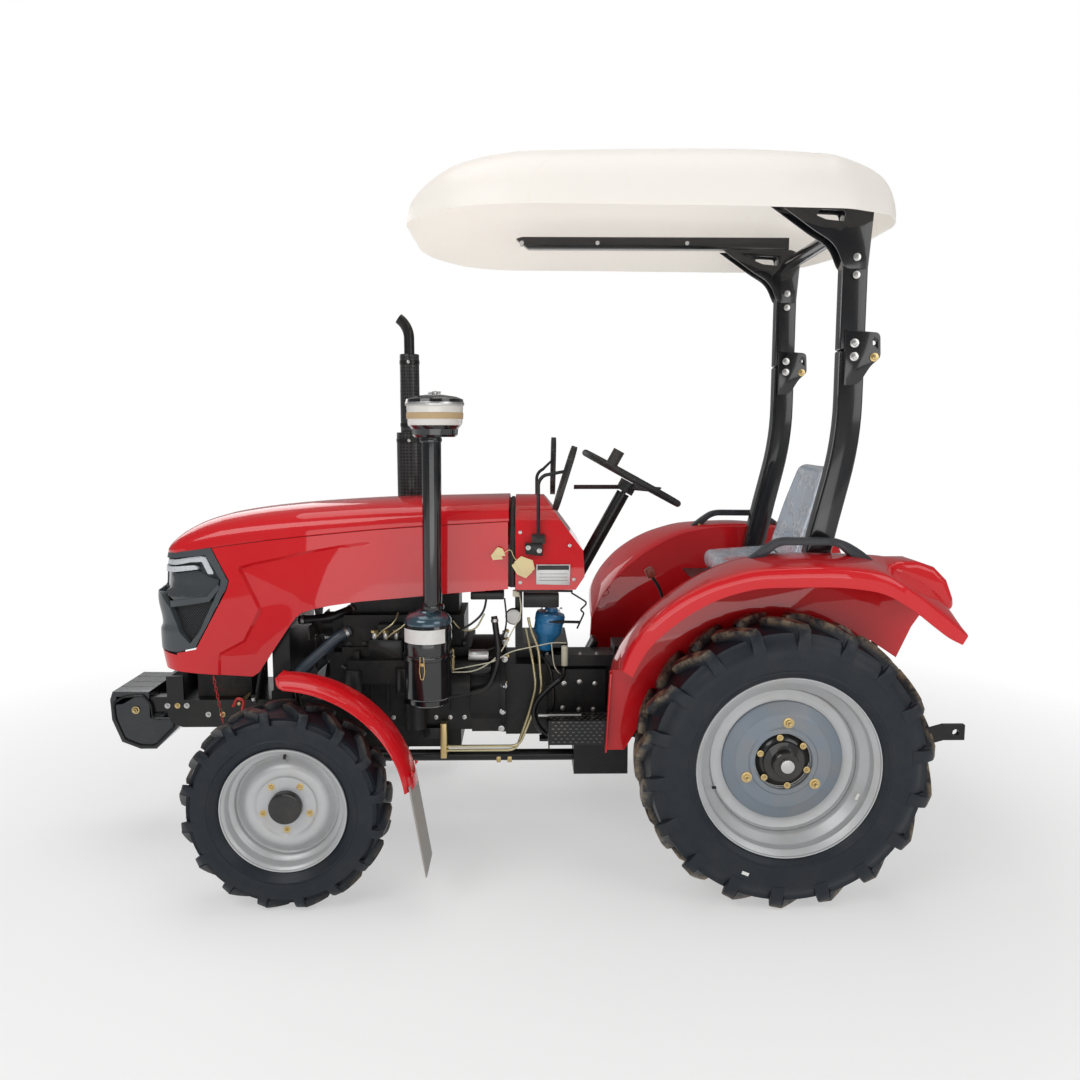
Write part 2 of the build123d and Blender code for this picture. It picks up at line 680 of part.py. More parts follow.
# station, half width at the bottom, shoulder: y and z, crest z
HOOD_TABLE = (
    (2056, 116, 100, 895, 990),
    (2040, 170, 150, 935, 1028),
    (2004, 206, 184, 990, 1077),
    (1958, 222, 198, 1032, 1117),
    (1900, 231, 207, 1052, 1147),
    (1810, 237, 212, 1071, 1172),
    (1667, 239, 213, 1095, 1193),
    (1453, 240, 214, 1120, 1211),
    (1238, 240, 214, 1145, 1222),
    (844, 240, 214, 1158, 1231),
)
hood_lowest = 628
crease_drop = 6             # the joint between top and side panels, below the shoulder

with BuildPart() as hood_skin:
    loft([hood_section(*row, hood_lowest, 0) for row in HOOD_TABLE], ruled=True)
nose_row = HOOD_TABLE[0]
INNER_TABLE = ((nose_row[0] - hood_sheet,) + nose_row[1:],) + HOOD_TABLE[1:]
with BuildPart() as hood_hollow:
    loft([hood_section(*row, hood_lowest, hood_sheet) for row in INNER_TABLE], ruled=True)
hood_shell = hood_skin.part - hood_hollow.part

# side view of what lies under the panels' lower edge, from the nose to the cowl
under_hood = (
    spot(2080, 600), spot(2080, 652), spot(2012, 652), spot(1713, hood_lowest + 1),
    spot(1681, 660), spot(1582, 808), spot(1547, 849), spot(1446, 869), spot(1228, 892),
    spot(844, 925), spot(830, 925), spot(830, 600))
with BuildPart() as hood_cut:
    plate(under_hood, -300, 300)
hood_shell = hood_shell - hood_cut.part

crease = (
    spot(2080, 1010), *[spot(row[0], row[3] - crease_drop) for row in HOOD_TABLE[3:]],
    spot(830, HOOD_TABLE[-1][3] - crease_drop), spot(830, 1300), spot(2080, 1300))
# side view of the dark lamp bezel with the chin below it
nose_line = (spot(1851, 1300), spot(1851, 1063), spot(1789, 947), spot(1881, 762),
             spot(1985, 722), spot(1985, 600), spot(2080, 600), spot(2080, 1300))
# side view of a headlamp, of the row of slots below it, and of the grille in the nose
lamp_outline = (spot(2030, 984), spot(1885, 1006), spot(1848, 962), spot(1896, 900),
                spot(2048, 885))
slot_height = 8
side_slots = (878, 858, 838, 818, 798, 778)
side_slot_front = 2000
front_slots = tuple(range(740, 950, 24))
front_slot_half = 105
with BuildPart() as above_crease:
    plate(crease, -300, 300)
with BuildPart() as nose_zone:
    plate(nose_line, -300, 300)
with BuildPart() as lamp_zone:
    for side in (-1, 1):
        plate(lamp_outline, side * 140, side * 300)
with BuildPart() as slot_zone:
    for slot_z in side_slots:
        # the slots end short of the bezel's slanted rear edge
        slot_rear = 1789 + (947 - slot_z) * (1881 - 1789) / (947 - 762) + 36
        block(side_slot_front, slot_rear, -300, 300, slot_z, slot_z + slot_height)
    for slot_z in front_slots:
        block(2080, 1900, -front_slot_half, front_slot_half, slot_z, slot_z + slot_height)
with BuildPart() as left_half:
    block(2100, 800, -300, 0, 500, 1400)
with BuildPart() as right_half:
    block(2100, 800, 0, 300, 500, 1400)

hood_pieces = (
    ("hood_top", hood_shell & above_crease.part),
    ("hood_side_left", (hood_shell & left_half.part) - above_crease.part - nose_zone.part),
    ("hood_side_right", (hood_shell & right_half.part) - above_crease.part - nose_zone.part),
    ("hood_nose", (hood_shell & nose_zone.part) - above_crease.part - lamp_zone.part
     - slot_zone.part),
    ("headlamps", hood_shell & lamp_zone.part),
)
hinge_lug_y = 33
hinge_lug_width = 8
for name, shape in hood_pieces:
    with BuildPart() as panel:
        add(shape)
        if name == "hood_top":
            # lugs under the skin that turn on the cowl's hinge pins
            for side in (-1, 1):
                block(hinge_ahead + 24, hinge_ahead - 2, side * hinge_lug_y,
                      side * (hinge_lug_y + hinge_lug_width), hinge_z - 8, hinge_z + 9)
                bar_along_y(ahead(hinge_ahead), side * hinge_lug_y,
                            side * (hinge_lug_y + hinge_lug_width), hinge_z,
                            hinge_pin_radius + fit, mode=Mode.SUBTRACT)
    save(panel, name)

# ---- cowl, instrument panel, steering column and wheel -----------------------------------
tilt = radians(column_tilt)
steering_wheel_x = ahead(steering_wheel_ahead)
column_direction = (sin(tilt), 0, cos(tilt))
column_start = 400           # below the ring's plane, along the column
column_radius = 24
column_end = 60
wheel_shaft_radius = 9
knob_turn = 147              # of the assister knob, from the ring's right side


def column_plane(distance):
    """Plane across the column, this far below the plane of the ring."""
    return Plane(origin=(steering_wheel_x - distance * sin(tilt), 0,
                         steering_wheel_z - distance * cos(tilt)),
                 x_dir=(0, 1, 0), z_dir=column_direction)


cowl_front = hood_rear - hood_seal
seal_inset = 14
seal_depth = 10
ear_y = 42                   # hinge ears of the cowl, and lugs of the hood inside them
ear_thickness = 6


def cowl_section(inset):
    """Section of the cowl across the tractor, drawn in by this much."""
    with BuildSketch(Plane(origin=(ahead(cowl_front), 0, 0), x_dir=(0, 1, 0),
                           z_dir=(1, 0, 0))) as section:
        with BuildLine():
            top_y = hood_shoulder_y - inset
            low_y = hood_half_width - inset
            Polyline((-top_y, cowl_shoulder_z - inset), (-low_y, cowl_bottom + inset),
                     (low_y, cowl_bottom + inset), (top_y, cowl_shoulder_z - inset))
            ThreePointArc((-top_y, cowl_shoulder_z - inset), (0, cowl_crest_z - inset),
                          (top_y, cowl_shoulder_z - inset))
        make_face()
    return section.sketch


cowl_shoulder_z = 1158
cowl_crest_z = 1231
with BuildPart() as dash_cowl:
    extrude(cowl_section(0), amount=ahead(cowl_rear) - ahead(cowl_front))
    plate((spot(cowl_rear - 1, 1300), spot(729, 1300), spot(729, 1239), spot(593, 1055),
           spot(cowl_rear, 969), spot(cowl_rear - 1, 969)), -300, 300, mode=Mode.SUBTRACT)
    plate((spot(cowl_rear - 1, 900), spot(cowl_rear - 1, 969), spot(cowl_rear, 969),
           spot(620, 924), spot(620, 900)), -300, 300, mode=Mode.SUBTRACT)
    # rubber seal set back in the seam, and the ears of the hood's hinge
    extrude(cowl_section(seal_inset), amount=-seal_depth)
    for side in (-1, 1):
        block(hinge_ahead + 3, cowl_front, side * ear_y, side * (ear_y + ear_thickness),
              hinge_z - 10, hinge_z + 1)
    bar_along_y(ahead(hinge_ahead), -ear_y - ear_thickness, -ear_y + 10, hinge_z,
                hinge_pin_radius)
    bar_along_y(ahead(hinge_ahead), ear_y - 10, ear_y + ear_thickness, hinge_z,
                hinge_pin_radius)
    with BuildSketch(column_plane(column_start)):
        Circle(column_radius + fit)
    extrude(amount=column_start - column_end, mode=Mode.SUBTRACT)
save(dash_cowl, "dash_cowl")

with BuildPart() as cowl_pillar:
    block(825, 800, -130, 130, 715, cowl_bottom)
    block(825, 640, -30, 30, gearbox_top, 715)
    block(825, 640, -130, -30, 700, 715)
    block(825, 640, 30, 130, 700, 715)
save(cowl_pillar, "cowl_pillar")

with BuildPart() as steering_column:
    with BuildSketch(column_plane(column_start)):
        Circle(column_radius)
    extrude(amount=column_start - column_end)
    with BuildSketch(column_plane(column_end)):
        Circle(wheel_shaft_radius)
    extrude(amount=30)
save(steering_column, "steering_column")

with BuildPart() as steering_wheel:
    with BuildSketch(Plane(origin=(steering_wheel_x, 0, steering_wheel_z), x_dir=column_direction,
                           z_dir=(0, 1, 0))):
        with Locations((0, steering_wheel_radius)):
            Circle(steering_ring_radius)
    revolve(axis=Axis((steering_wheel_x, 0, steering_wheel_z), column_direction))
    with BuildSketch(column_plane(column_end - running_gap)):
        Circle(32)
        Circle(wheel_shaft_radius + fit, mode=Mode.SUBTRACT)
    extrude(amount=26)
    with BuildSketch(column_plane(29)):
        Circle(32)
    extrude(amount=14)
    for spoke in range(3):
        with BuildSketch(column_plane(38).rotated((0, 0, 90 + 120 * spoke))):
            with Locations(((steering_wheel_radius + 20) / 2, 0)):
                Rectangle(steering_wheel_radius - 20, 26)
        extrude(amount=5)
    # assister knob on the ring's front left
    with BuildSketch(column_plane(0)):
        with PolarLocations(steering_wheel_radius, 1, start_angle=knob_turn):
            Circle(20)
    extrude(amount=60)
save(steering_wheel, "steering_wheel")

# ---- air cleaner, intake and exhaust --------------------------------------------------------
cleaner_ahead = 1108
cleaner_y = -330
cleaner_radius = 78
cleaner_bottom = 583
cleaner_top = 849
intake_radius = 31
bowl_bottom = 1437
bowl_top = 1548
with BuildPart() as air_cleaner:
    bar_along_z(ahead(cleaner_ahead), cleaner_y, cleaner_bottom, cleaner_top, cleaner_radius)
    bar_along_z(ahead(cleaner_ahead), cleaner_y, cleaner_bottom - 20, cleaner_bottom, 66)
    # bracket to the engine
    block(1150, 1106, cleaner_y + cleaner_radius - 12, -engine_half_width, 640, 648)
save(air_cleaner, "air_cleaner")

with BuildPart() as intake_stack:
    bar_along_z(ahead(cleaner_ahead), cleaner_y, cleaner_top, cleaner_top + 24, 50)
    bar_along_z(ahead(cleaner_ahead), cleaner_y, cleaner_top + 24, bowl_bottom, intake_radius)
save(intake_stack, "intake_stack")

with BuildPart() as precleaner_bowl:
    with BuildSketch(Plane(origin=(ahead(cleaner_ahead), cleaner_y, 0), x_dir=(1, 0, 0),
                           z_dir=(0, -1, 0))):
        with BuildLine():
            Polyline((0, bowl_bottom), (72, bowl_bottom), (84, bowl_bottom + 16),
                     (93, bowl_top), (93, bowl_top + 12), (30, bowl_top + 22), (0, bowl_top + 22),
                     close=True)
        make_face()
    revolve(axis=Axis((ahead(cleaner_ahead), cleaner_y, 0), (0, 0, 1)))
    bar_along_z(ahead(cleaner_ahead), cleaner_y, bowl_top + 20, bowl_top + 34, 8)
save(precleaner_bowl, "precleaner_bowl")

exhaust_ahead = 1234
exhaust_y = 305
muffler_top = 1449
shield_top = 1747
pipe_radius = 20
tip_radius = 90
tip_turn = 55
pipe_wall = 3
with BuildPart() as exhaust:
    # manifold on the head, and the elbow out to the stack
    block(1390, 1050, 118, 168, 735, 790)
    bar_along_y(ahead(exhaust_ahead), 168, exhaust_y, 762, 24)
    bar_along_z(ahead(exhaust_ahead), exhaust_y, 738, 960, 24)
    # perforated shields round the silencer and the pipe above it
    bar_along_z(ahead(exhaust_ahead), exhaust_y, 960, muffler_top, 52)
    bar_along_z(ahead(exhaust_ahead), exhaust_y, muffler_top, shield_top, 36)
    with BuildLine(side_plane(exhaust_y)) as tip_path:
        Line(spot(exhaust_ahead, shield_top - 8), spot(exhaust_ahead, 1810))
        CenterArc((ahead(exhaust_ahead) - tip_radius, 1810), tip_radius, 0, tip_turn)
    with BuildSketch(Plane.XY.offset(shield_top - 8)):
        with Locations((ahead(exhaust_ahead), exhaust_y)):
            Circle(pipe_radius)
            Circle(pipe_radius - pipe_wall, mode=Mode.SUBTRACT)
    sweep(path=tip_path.line)
save(exhaust, "exhaust")

# ---- rear fenders, handles and foot plates -----------------------------------------------------
inner_rise = 18             # the fender's top is this much higher along its inner edge
fender_front = 500
fender_front_z = 680
fender_crest_z = 1067
fender_tail = -498
fender_tail_z = 866


def fender_line(drop):
    """Side view of the fender's top, lowered by this much, from the front to the tail."""
    front_curve = Edge.make_three_point_arc(
        spot(fender_front - drop * 0.9, fender_front_z),
        spot(468 - drop * 0.8, 838 - drop * 0.6), spot(325 - drop * 0.4, 994 - drop))
    crest = Edge.make_three_point_arc(
        front_curve @ 1, spot(0, fender_crest_z - drop), spot(-300 + drop * 0.2, 1016 - drop))
    tail = Edge.make_line(crest @ 1, spot(fender_tail + drop * 0.2, fender_tail_z - drop))
    return front_curve, crest, tail


def fender_band(thickness, rise, y):
    """Closed side-view face between the fender's line and one that lies inside it."""
    plane = Plane(origin=(0, y, rise), x_dir=(1, 0, 0), z_dir=(0, -1, 0))
    with BuildSketch(plane) as band:
        with BuildLine():
            outer_front, outer_crest, outer_tail = fender_line(0)
            inner_front, inner_crest, inner_tail = fender_line(thickness)
            add([outer_front, outer_crest, outer_tail, inner_front, inner_crest, inner_tail])
            Line(outer_front @ 0, inner_front @ 0)
            Line(outer_tail @ 1, inner_tail @ 1)
        make_face()
    return band.sketch


for hand, side in SIDES:
    with BuildPart() as fender:
        loft([fender_band(fender_sheet, inner_rise, side * fender_in_y),
              fender_band(fender_sheet, 0, side * fender_out_y)], ruled=True)
        extrude(fender_band(skirt_height, 0, side * fender_out_y), amount=side * fender_sheet)
        # upright inner wall, with the apron that runs down in front of the tyre
        plate((spot(500, 690), spot(512, 560), spot(535, 430), spot(472, 430), spot(452, 560),
               spot(200, 610), spot(-200, 640), spot(-380, 760), spot(-420, 905),
               spot(-300, 1010), spot(-150, 1052), spot(0, 1070), spot(170, 1050),
               spot(325, 996), spot(430, 890), spot(478, 790)),
              side * fender_in_y, side * (fender_in_y + fender_sheet))
        # pod for the tail lamp on the inner half of the tail
        plate((spot(-285, 1022), spot(-345, 1060), spot(-405, 1042), spot(-468, 1004),
               spot(-506, 942), spot(-488, 876), spot(-300, 1008)),
              side * (fender_in_y + 8), side * (fender_in_y + 150))
    save(fender, "rear_fender_" + hand)

# front foot, shoulders and rear foot of a handle: station and height
handle_y = 500
handle_radius = 13
handle_spots = ((77, 1075.5), (77, 1090), (30, 1116), (-190, 1114), (-262, 1066), (-262, 1050))
with BuildPart() as grab_handles:
    for hand, side in SIDES:
        with BuildLine(side_plane(side * handle_y)) as handle_path:
            FilletPolyline(*[spot(*row) for row in handle_spots], radius=[17, 24, 30, 17])
        with BuildSketch(Plane(origin=handle_path.line @ 0, z_dir=handle_path.line % 0)):
            Circle(handle_radius)
        sweep(path=handle_path.line)
save(grab_handles, "grab_handles")

with BuildPart() as foot_plates:
    for hand, side in SIDES:
        block(715, 330, side * gearbox_half_width, side * fender_in_y, 470, 474)
        block(715, 711, side * gearbox_half_width, side * fender_in_y, 430, 470)
        block(715, 526, side * (fender_in_y - 4), side * fender_in_y, 444, 525)
    # cut clear of the gearbox side cover
    block(706, 509, -gearbox_half_width - 40, -gearbox_half_width, 430, 480, mode=Mode.SUBTRACT)
save(foot_plates, "foot_plates")

# ---- seat ------------------------------------------------------------------------------------
with BuildPart() as seat_pedestal:
    block(140, -100, -110, 110, lift_housing_top, 930)
    block(190, -110, -160, 160, 930, 938)
save(seat_pedestal, "seat_pedestal")

with BuildPart() as seat_cushion:
    plate((spot(227, 938.3), spot(234, 985), spot(214, 1012), spot(150, 1014), spot(-60, 996),
           spot(-100, 1000), spot(-100, 938.3)), -215, 215)
    fillet(seat_cushion.edges().filter_by(Axis.Y).group_by(Axis.Z)[-1], 12)
save(seat_cushion, "seat_cushion")

with BuildPart() as seat_back:
    plate((spot(-100.3, 940), spot(-100.3, 1010), spot(-116, 1118), spot(-160, 1268),
           spot(-205, 1350), spot(-245, 1340), spot(-236, 1230), spot(-190, 1117),
           spot(-150, 1000), spot(-140, 940)),
          -205, 205)
save(seat_back, "seat_back")

# ---- pedals and levers --------------------------------------------------------------------------
with BuildPart() as pedals_and_levers:
    for y in (-230, 175, 250):
        bar_along_y(ahead(600), y - 22, y + 22, 492, 18)
        plate((spot(610, 492), spot(650, 640), spot(636, 644), spot(592, 496)), y - 6, y + 6)
        plate((spot(665, 636), spot(620, 668), spot(616, 662), spot(661, 630)), y - 35, y + 35)
    for y, top_ahead, top_z in ((-20, 420, 985), (45, 395, 960)):
        block(412, 388, y - 12, y + 12, 690, 704)
        foot = Vector(ahead(400), y, 698)
        top = Vector(ahead(top_ahead), y * 1.6, top_z)
        with BuildSketch(Plane(origin=foot, z_dir=top - foot)):
            Circle(8)
        extrude(amount=(top - foot).length)
        with BuildSketch(Plane(origin=top, z_dir=top - foot)):
            Circle(20)
        extrude(amount=46)
    # curved arm of the left pedal, down to the foot plate
    plate((spot(645, 606), spot(672, 640), spot(735, 574), spot(774, 516), spot(785, 460),
           spot(770, 410), spot(738, 384), spot(715, 380), spot(715, 440), spot(741, 438),
           spot(754, 470), spot(743, 506), spot(706, 548)), -240, -230)
save(pedals_and_levers, "pedals_and_levers")

# ---- canopy frame --------------------------------------------------------------------------------
post_in_y = post_out_y - post_width
post_wall = 4
plate_sheet = 8
fold_pin_radius = 10
foot_front = 90              # the posts' feet stand on the axle between these stations
foot_rear = -60
LOWER_POST = (
    spot(-post_rear, post_joint_z), spot(-(post_rear - post_depth), post_joint_z),
    spot(-(post_rear - post_depth), 1430), spot(-95, 1050), spot(-20, 600),
    spot(-98, 600), spot(-173, 1040), spot(-post_rear, 1420))
with BuildPart() as rops_lower:
    for hand, side in SIDES:
        plate(LOWER_POST, side * post_in_y, side * post_out_y)
        # foot bracket round the axle trumpet
        plate((spot(84, 470), spot(84, 520), spot(40, 600), spot(-110, 600), spot(-92, 520),
               spot(-84, 470)), side * post_in_y, side * post_out_y)
        # fold plates on both faces of the post
        for face_y in (side * (post_in_y - plate_sheet), side * post_out_y):
            plate((spot(-204, 1767), spot(-311, 1758), spot(-315, 1682), spot(-285, 1657),
                   spot(-250, 1600), spot(-204, 1600)), face_y, face_y + side * plate_sheet)
            bar_along_y(ahead(-fold_back), face_y, face_y + side * plate_sheet, fold_z,
                        fold_pin_radius + fit, mode=Mode.SUBTRACT)
        bar_along_y(rear_axle_x, side * (post_in_y - 20), side * (post_out_y + 8), rear_axle_z,
                    trumpet_radius, mode=Mode.SUBTRACT)
save(rops_lower, "rops_lower")

post_gap = 1
upper_out_y = post_out_y - post_gap
upper_in_y = post_in_y + post_gap
post_top_z = 2133
with BuildPart() as rops_upper:
    for hand, side in SIDES:
        # post with the ear that turns on the fold pin
        plate((spot(-(post_rear - post_depth), post_joint_z + 1),
               spot(-fold_back + 20, post_joint_z + 1),
               spot(-fold_back + 16, fold_z - 14), spot(-fold_back - 14, fold_z - 14),
               spot(-fold_back - 14, fold_z + 24), spot(-post_rear, post_joint_z + 70),
               spot(-post_rear, post_top_z), spot(-(post_rear - post_depth), post_top_z)),
              side * upper_in_y, side * upper_out_y)
        bar_along_y(ahead(-fold_back), side * (post_in_y - plate_sheet - 6),
                    side * (post_out_y + plate_sheet + 6), fold_z, fold_pin_radius)
    bar_along_y(ahead(-(post_rear - post_depth / 2)), -upper_in_y, upper_in_y, post_top_z - 40, 24)
    for side in (-1, 1):
        # gusset with its slot, and the rail under the canopy
        plate((spot(27, post_top_z), spot(-258, post_top_z), spot(-262, 2037), spot(-190, 1985),
               spot(-92, 1985)), side * upper_in_y, side * (upper_in_y + 10))
        plate((spot(823, rail_over_z - 8), spot(780, rail_under_z), spot(-234, rail_under_z),
               spot(-234, rail_over_z), spot(780, rail_over_z)),
              side * upper_in_y, side * (upper_in_y + 40))
        plate((spot(-190, post_top_z), spot(-234, post_top_z), spot(-234, rail_under_z),
               spot(-20, rail_under_z), spot(-20, post_top_z)),
              side * upper_in_y, side * (upper_in_y + 10))
        plate((spot(-98, 2109), spot(-113, 2124), spot(-187, 2124), spot(-187, 2090),
               spot(-120, 2090)), side * (upper_in_y - 1), side * (upper_in_y + 11),
              mode=Mode.SUBTRACT)
save(rops_upper, "rops_upper")


def canopy_section(station, half_width, edge_z, crest_z, drop):
    """Section of the canopy across the tractor, a shallow arch with turned-down sides."""
    with BuildSketch(Plane(origin=(ahead(station), 0, 0), x_dir=(0, 1, 0),
                           z_dir=(1, 0, 0))) as section:
        with BuildLine():
            half = half_width - drop * 1.5
            floor = edge_z - (60 if drop else 0)
            rise = crest_z - edge_z
            brow_z = edge_z + rise * side_share - drop
            knee = (half * knee_share, edge_z + rise * knee_rise - drop)
            Line((-half, floor), (-half, brow_z))
            Line((-half, brow_z), (-knee[0], knee[1]))
            ThreePointArc((-knee[0], knee[1]), (0, crest_z - drop), knee)
            Line(knee, (half, brow_z))
            Line((half, brow_z), (half, floor))
            Line((half, floor), (-half, floor))
        make_face()
    return section.sketch


# station, half width, lower edge, crest
CANOPY_TABLE = (
    (1173, 300, 2118, 2196),
    (1120, 460, 2112, 2262),
    (1000, 530, 2108, 2312),
    (780, 550, 2108, 2348),
    (180, 550, 2104, 2359),
    (-163, 535, 2100, 2345),
    (-320, 480, 2104, 2306),
    (-405, 330, 2112, 2216),
)
first_row, last_row = CANOPY_TABLE[0], CANOPY_TABLE[-1]
HOLLOW_TABLE = (((first_row[0] - canopy_sheet,) + first_row[1:],) + CANOPY_TABLE[1:-1]
                + ((last_row[0] + canopy_sheet,) + last_row[1:],))
with BuildPart() as canopy:
    loft([canopy_section(*row, 0) for row in CANOPY_TABLE], ruled=True)
with BuildPart() as canopy_hollow:
    loft([canopy_section(*row, canopy_sheet) for row in HOLLOW_TABLE], ruled=True)
with BuildPart() as canopy_shell:
    add(canopy.part - canopy_hollow.part)
    # ribs that sit on the rails of the frame
    for side in (-1, 1):
        block(800, -230, side * (upper_in_y + 4), side * (upper_in_y + 34), rail_over_z + fit, 2272)
save(canopy_shell, "canopy")

# ---- three-point hitch -------------------------------------------------------------------------
link_back = rear_reach - link_eye_radius
rod_share = (rod_foot_back - link_pivot_back) / (link_back - link_pivot_back)
rod_foot_z = link_pivot_z + rod_share * (link_eye_z - link_pivot_z)
with BuildPart() as lower_links:
    for hand, side in SIDES:
        near = (ahead(-link_pivot_back), side * link_pivot_y)
        far = (ahead(-link_back), side * link_eye_y)
        # the link swings out towards its eye: a bent bar seen from above, cut to its side view
        with BuildSketch(Plane.XY.offset(link_pivot_z - 60)):
            with BuildLine():
                Polyline((near[0] - 34, near[1] - 9), (near[0] + 50, near[1] - 9),
                         (far[0] - 90, far[1] - 9), (far[0] + 40, far[1] - 9),
                         (far[0] + 40, far[1] + 9), (far[0] - 90, far[1] + 9),
                         (near[0] + 50, near[1] + 9), (near[0] - 34, near[1] + 9), close=True)
            make_face()
        extrude(amount=260)
    with BuildSketch(side_plane(500)):
        with BuildLine():
            Polyline((ahead(-link_pivot_back) - 32, link_pivot_z - 26),
                     (ahead(-link_pivot_back) + 30, link_pivot_z - 26),
                     (ahead(-link_back) - 40, link_eye_z - 26),
                     (ahead(-link_back) + link_eye_radius, link_eye_z - 26),
                     (ahead(-link_back) + link_eye_radius, link_eye_z + 26),
                     (ahead(-link_back) - 40, link_eye_z + 26),
                     (ahead(-link_pivot_back) + 30, link_pivot_z + 26),
                     (ahead(-link_pivot_back) - 32, link_pivot_z + 26), close=True)
        make_face()
    extrude(amount=1000, mode=Mode.INTERSECT)
    for hand, side in SIDES:
        bar_along_y(ahead(-link_pivot_back), side * 205, side * 245, link_pivot_z,
                    link_pivot_radius + fit, mode=Mode.SUBTRACT)
        bar_along_y(ahead(-link_back), side * 320, side * 370, link_eye_z, link_pin_radius,
                    mode=Mode.SUBTRACT)
        bar_along_y(ahead(-rod_foot_back), side * (rod_foot_y - 13), side * 292, rod_foot_z,
                    rod_pin_radius)
save(lower_links, "lower_links")

# the arms run parallel to the links, so the rods hang as the fourth side of a parallelogram
arm_end = (-rockshaft_back - (rod_foot_back - link_pivot_back),
           rockshaft_z + rod_foot_z - link_pivot_z)
with BuildPart() as lift_arms:
    for hand, side in SIDES:
        plate((spot(-rockshaft_back + 42, rockshaft_z - 34), spot(-rockshaft_back + 42, rockshaft_z + 34),
               spot(-rockshaft_back - 20, rockshaft_z + 46), spot(arm_end[0] + 10, arm_end[1] + 24),
               spot(arm_end[0] - 24, arm_end[1] + 20), spot(arm_end[0] - 24, arm_end[1] - 20),
               spot(-rockshaft_back - 50, rockshaft_z - 34)),
              side * (lift_arm_y - lift_arm_width), side * lift_arm_y)
        bar_along_y(ahead(arm_end[0]), side * lift_arm_y, side * 236, arm_end[1], 11)
        bar_along_y(ahead(-rockshaft_back), side * (lift_arm_y - lift_arm_width),
                    side * lift_arm_y, rockshaft_z, rockshaft_radius + fit, mode=Mode.SUBTRACT)
save(lift_arms, "lift_arms")

with BuildPart() as lift_rods:
    for hand, side in SIDES:
        top = Vector(ahead(arm_end[0]), side * 214, arm_end[1])
        foot = Vector(ahead(-rod_foot_back), side * rod_foot_y, rod_foot_z)
        bar_along_y(top.X, side * 201, side * 229, top.Z, 20)
        bar_along_y(foot.X, side * (rod_foot_y - 13), side * (rod_foot_y + 13), foot.Z, 20)
        with BuildSketch(Plane(origin=foot, z_dir=top - foot)):
            Circle(11)
        extrude(amount=(top - foot).length)
        bar_along_y(top.X, side * 198, side * 232, top.Z, 11 + fit, mode=Mode.SUBTRACT)
        bar_along_y(foot.X, side * (rod_foot_y - 14), side * (rod_foot_y + 14), foot.Z,
                    rod_pin_radius + fit, mode=Mode.SUBTRACT)
save(lift_rods, "lift_rods")

# ---- mirrors ---------------------------------------------------------------------------------------
def cowl_side(z):
    """Half width of the cowl at this height."""
    lean = (hood_half_width - hood_shoulder_y) / (cowl_shoulder_z - cowl_bottom)
    return hood_half_width - (z - cowl_bottom) * lean


with BuildPart() as mirrors:
    for side in (-1, 1):
        with BuildLine(side_plane(side * 232)) as stem:
            FilletPolyline(spot(690, 1110), spot(690, 1300), spot(600, 1340), radius=40)
        with BuildSketch(Plane(origin=stem.line @ 0, z_dir=stem.line % 0)):
            Circle(6)
        sweep(path=stem.line)
        mount_low, mount_high = 1080, 1112
        with BuildSketch(Plane(origin=(ahead(712), 0, 0), x_dir=(0, 1, 0), z_dir=(1, 0, 0))):
            with BuildLine():
                Polyline((side * (cowl_side(mount_low) + fit), mount_low), (side * 242, mount_low),
                         (side * 242, mount_high), (side * (cowl_side(mount_high) + fit), mount_high),
                         close=True)
            make_face()
        extrude(amount=44)
        with BuildSketch(Plane(origin=(ahead(600), side * 262, 1320), x_dir=(0, 1, 0),
                               z_dir=(1, 0, 0.2))):
            SlotOverall(220, 110, rotation=90)
        extrude(amount=18)
save(mirrors, "mirrors")
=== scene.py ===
"""Compact farm tractor with a folding canopy frame: the looks of every piece.

The front points to -X, the tractor's right side to +Y, and Z is up, in metres. Each
section below is one piece or one group of like pieces, with its sizes, colours and
material, and rides on the body that carries it.
"""
import math

import bmesh
import bpy
from mathutils import Matrix, Vector


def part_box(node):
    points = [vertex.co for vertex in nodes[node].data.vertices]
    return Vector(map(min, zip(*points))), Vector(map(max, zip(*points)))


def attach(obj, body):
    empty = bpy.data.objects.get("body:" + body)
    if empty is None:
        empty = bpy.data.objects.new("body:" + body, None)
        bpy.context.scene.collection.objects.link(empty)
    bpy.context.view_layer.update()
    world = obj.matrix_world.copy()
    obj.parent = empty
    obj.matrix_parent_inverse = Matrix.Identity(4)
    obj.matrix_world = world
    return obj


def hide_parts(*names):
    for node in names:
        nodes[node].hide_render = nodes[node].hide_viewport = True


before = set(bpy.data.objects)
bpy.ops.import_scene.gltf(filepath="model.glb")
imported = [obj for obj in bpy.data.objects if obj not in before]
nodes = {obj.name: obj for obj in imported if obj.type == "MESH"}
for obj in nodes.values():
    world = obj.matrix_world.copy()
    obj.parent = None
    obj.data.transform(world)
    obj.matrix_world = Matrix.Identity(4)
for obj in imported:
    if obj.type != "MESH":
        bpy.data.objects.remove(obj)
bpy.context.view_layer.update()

# ---- camera, floor and light ----
# Seen level from the tractor's left, a little above the hood, in a pale studio with
# large soft lights over and beside it.
def dial(node, values):
    """Set inputs of a shader node by their names."""
    for name, value in values.items():
        node.inputs[name].default_value = value


def show_mix(tree, factor, first, second, output):
    """Feed an output node with a mix of two shaders, by a socket or by a plain share."""
    mix = tree.nodes.new("ShaderNodeMixShader")
    if isinstance(factor, float):
        mix.inputs["Fac"].default_value = factor
    else:
        tree.links.new(factor, mix.inputs["Fac"])
    tree.links.new(first, mix.inputs[1])
    tree.links.new(second, mix.inputs[2])
    tree.links.new(mix.outputs["Shader"], tree.nodes[output].inputs["Surface"])


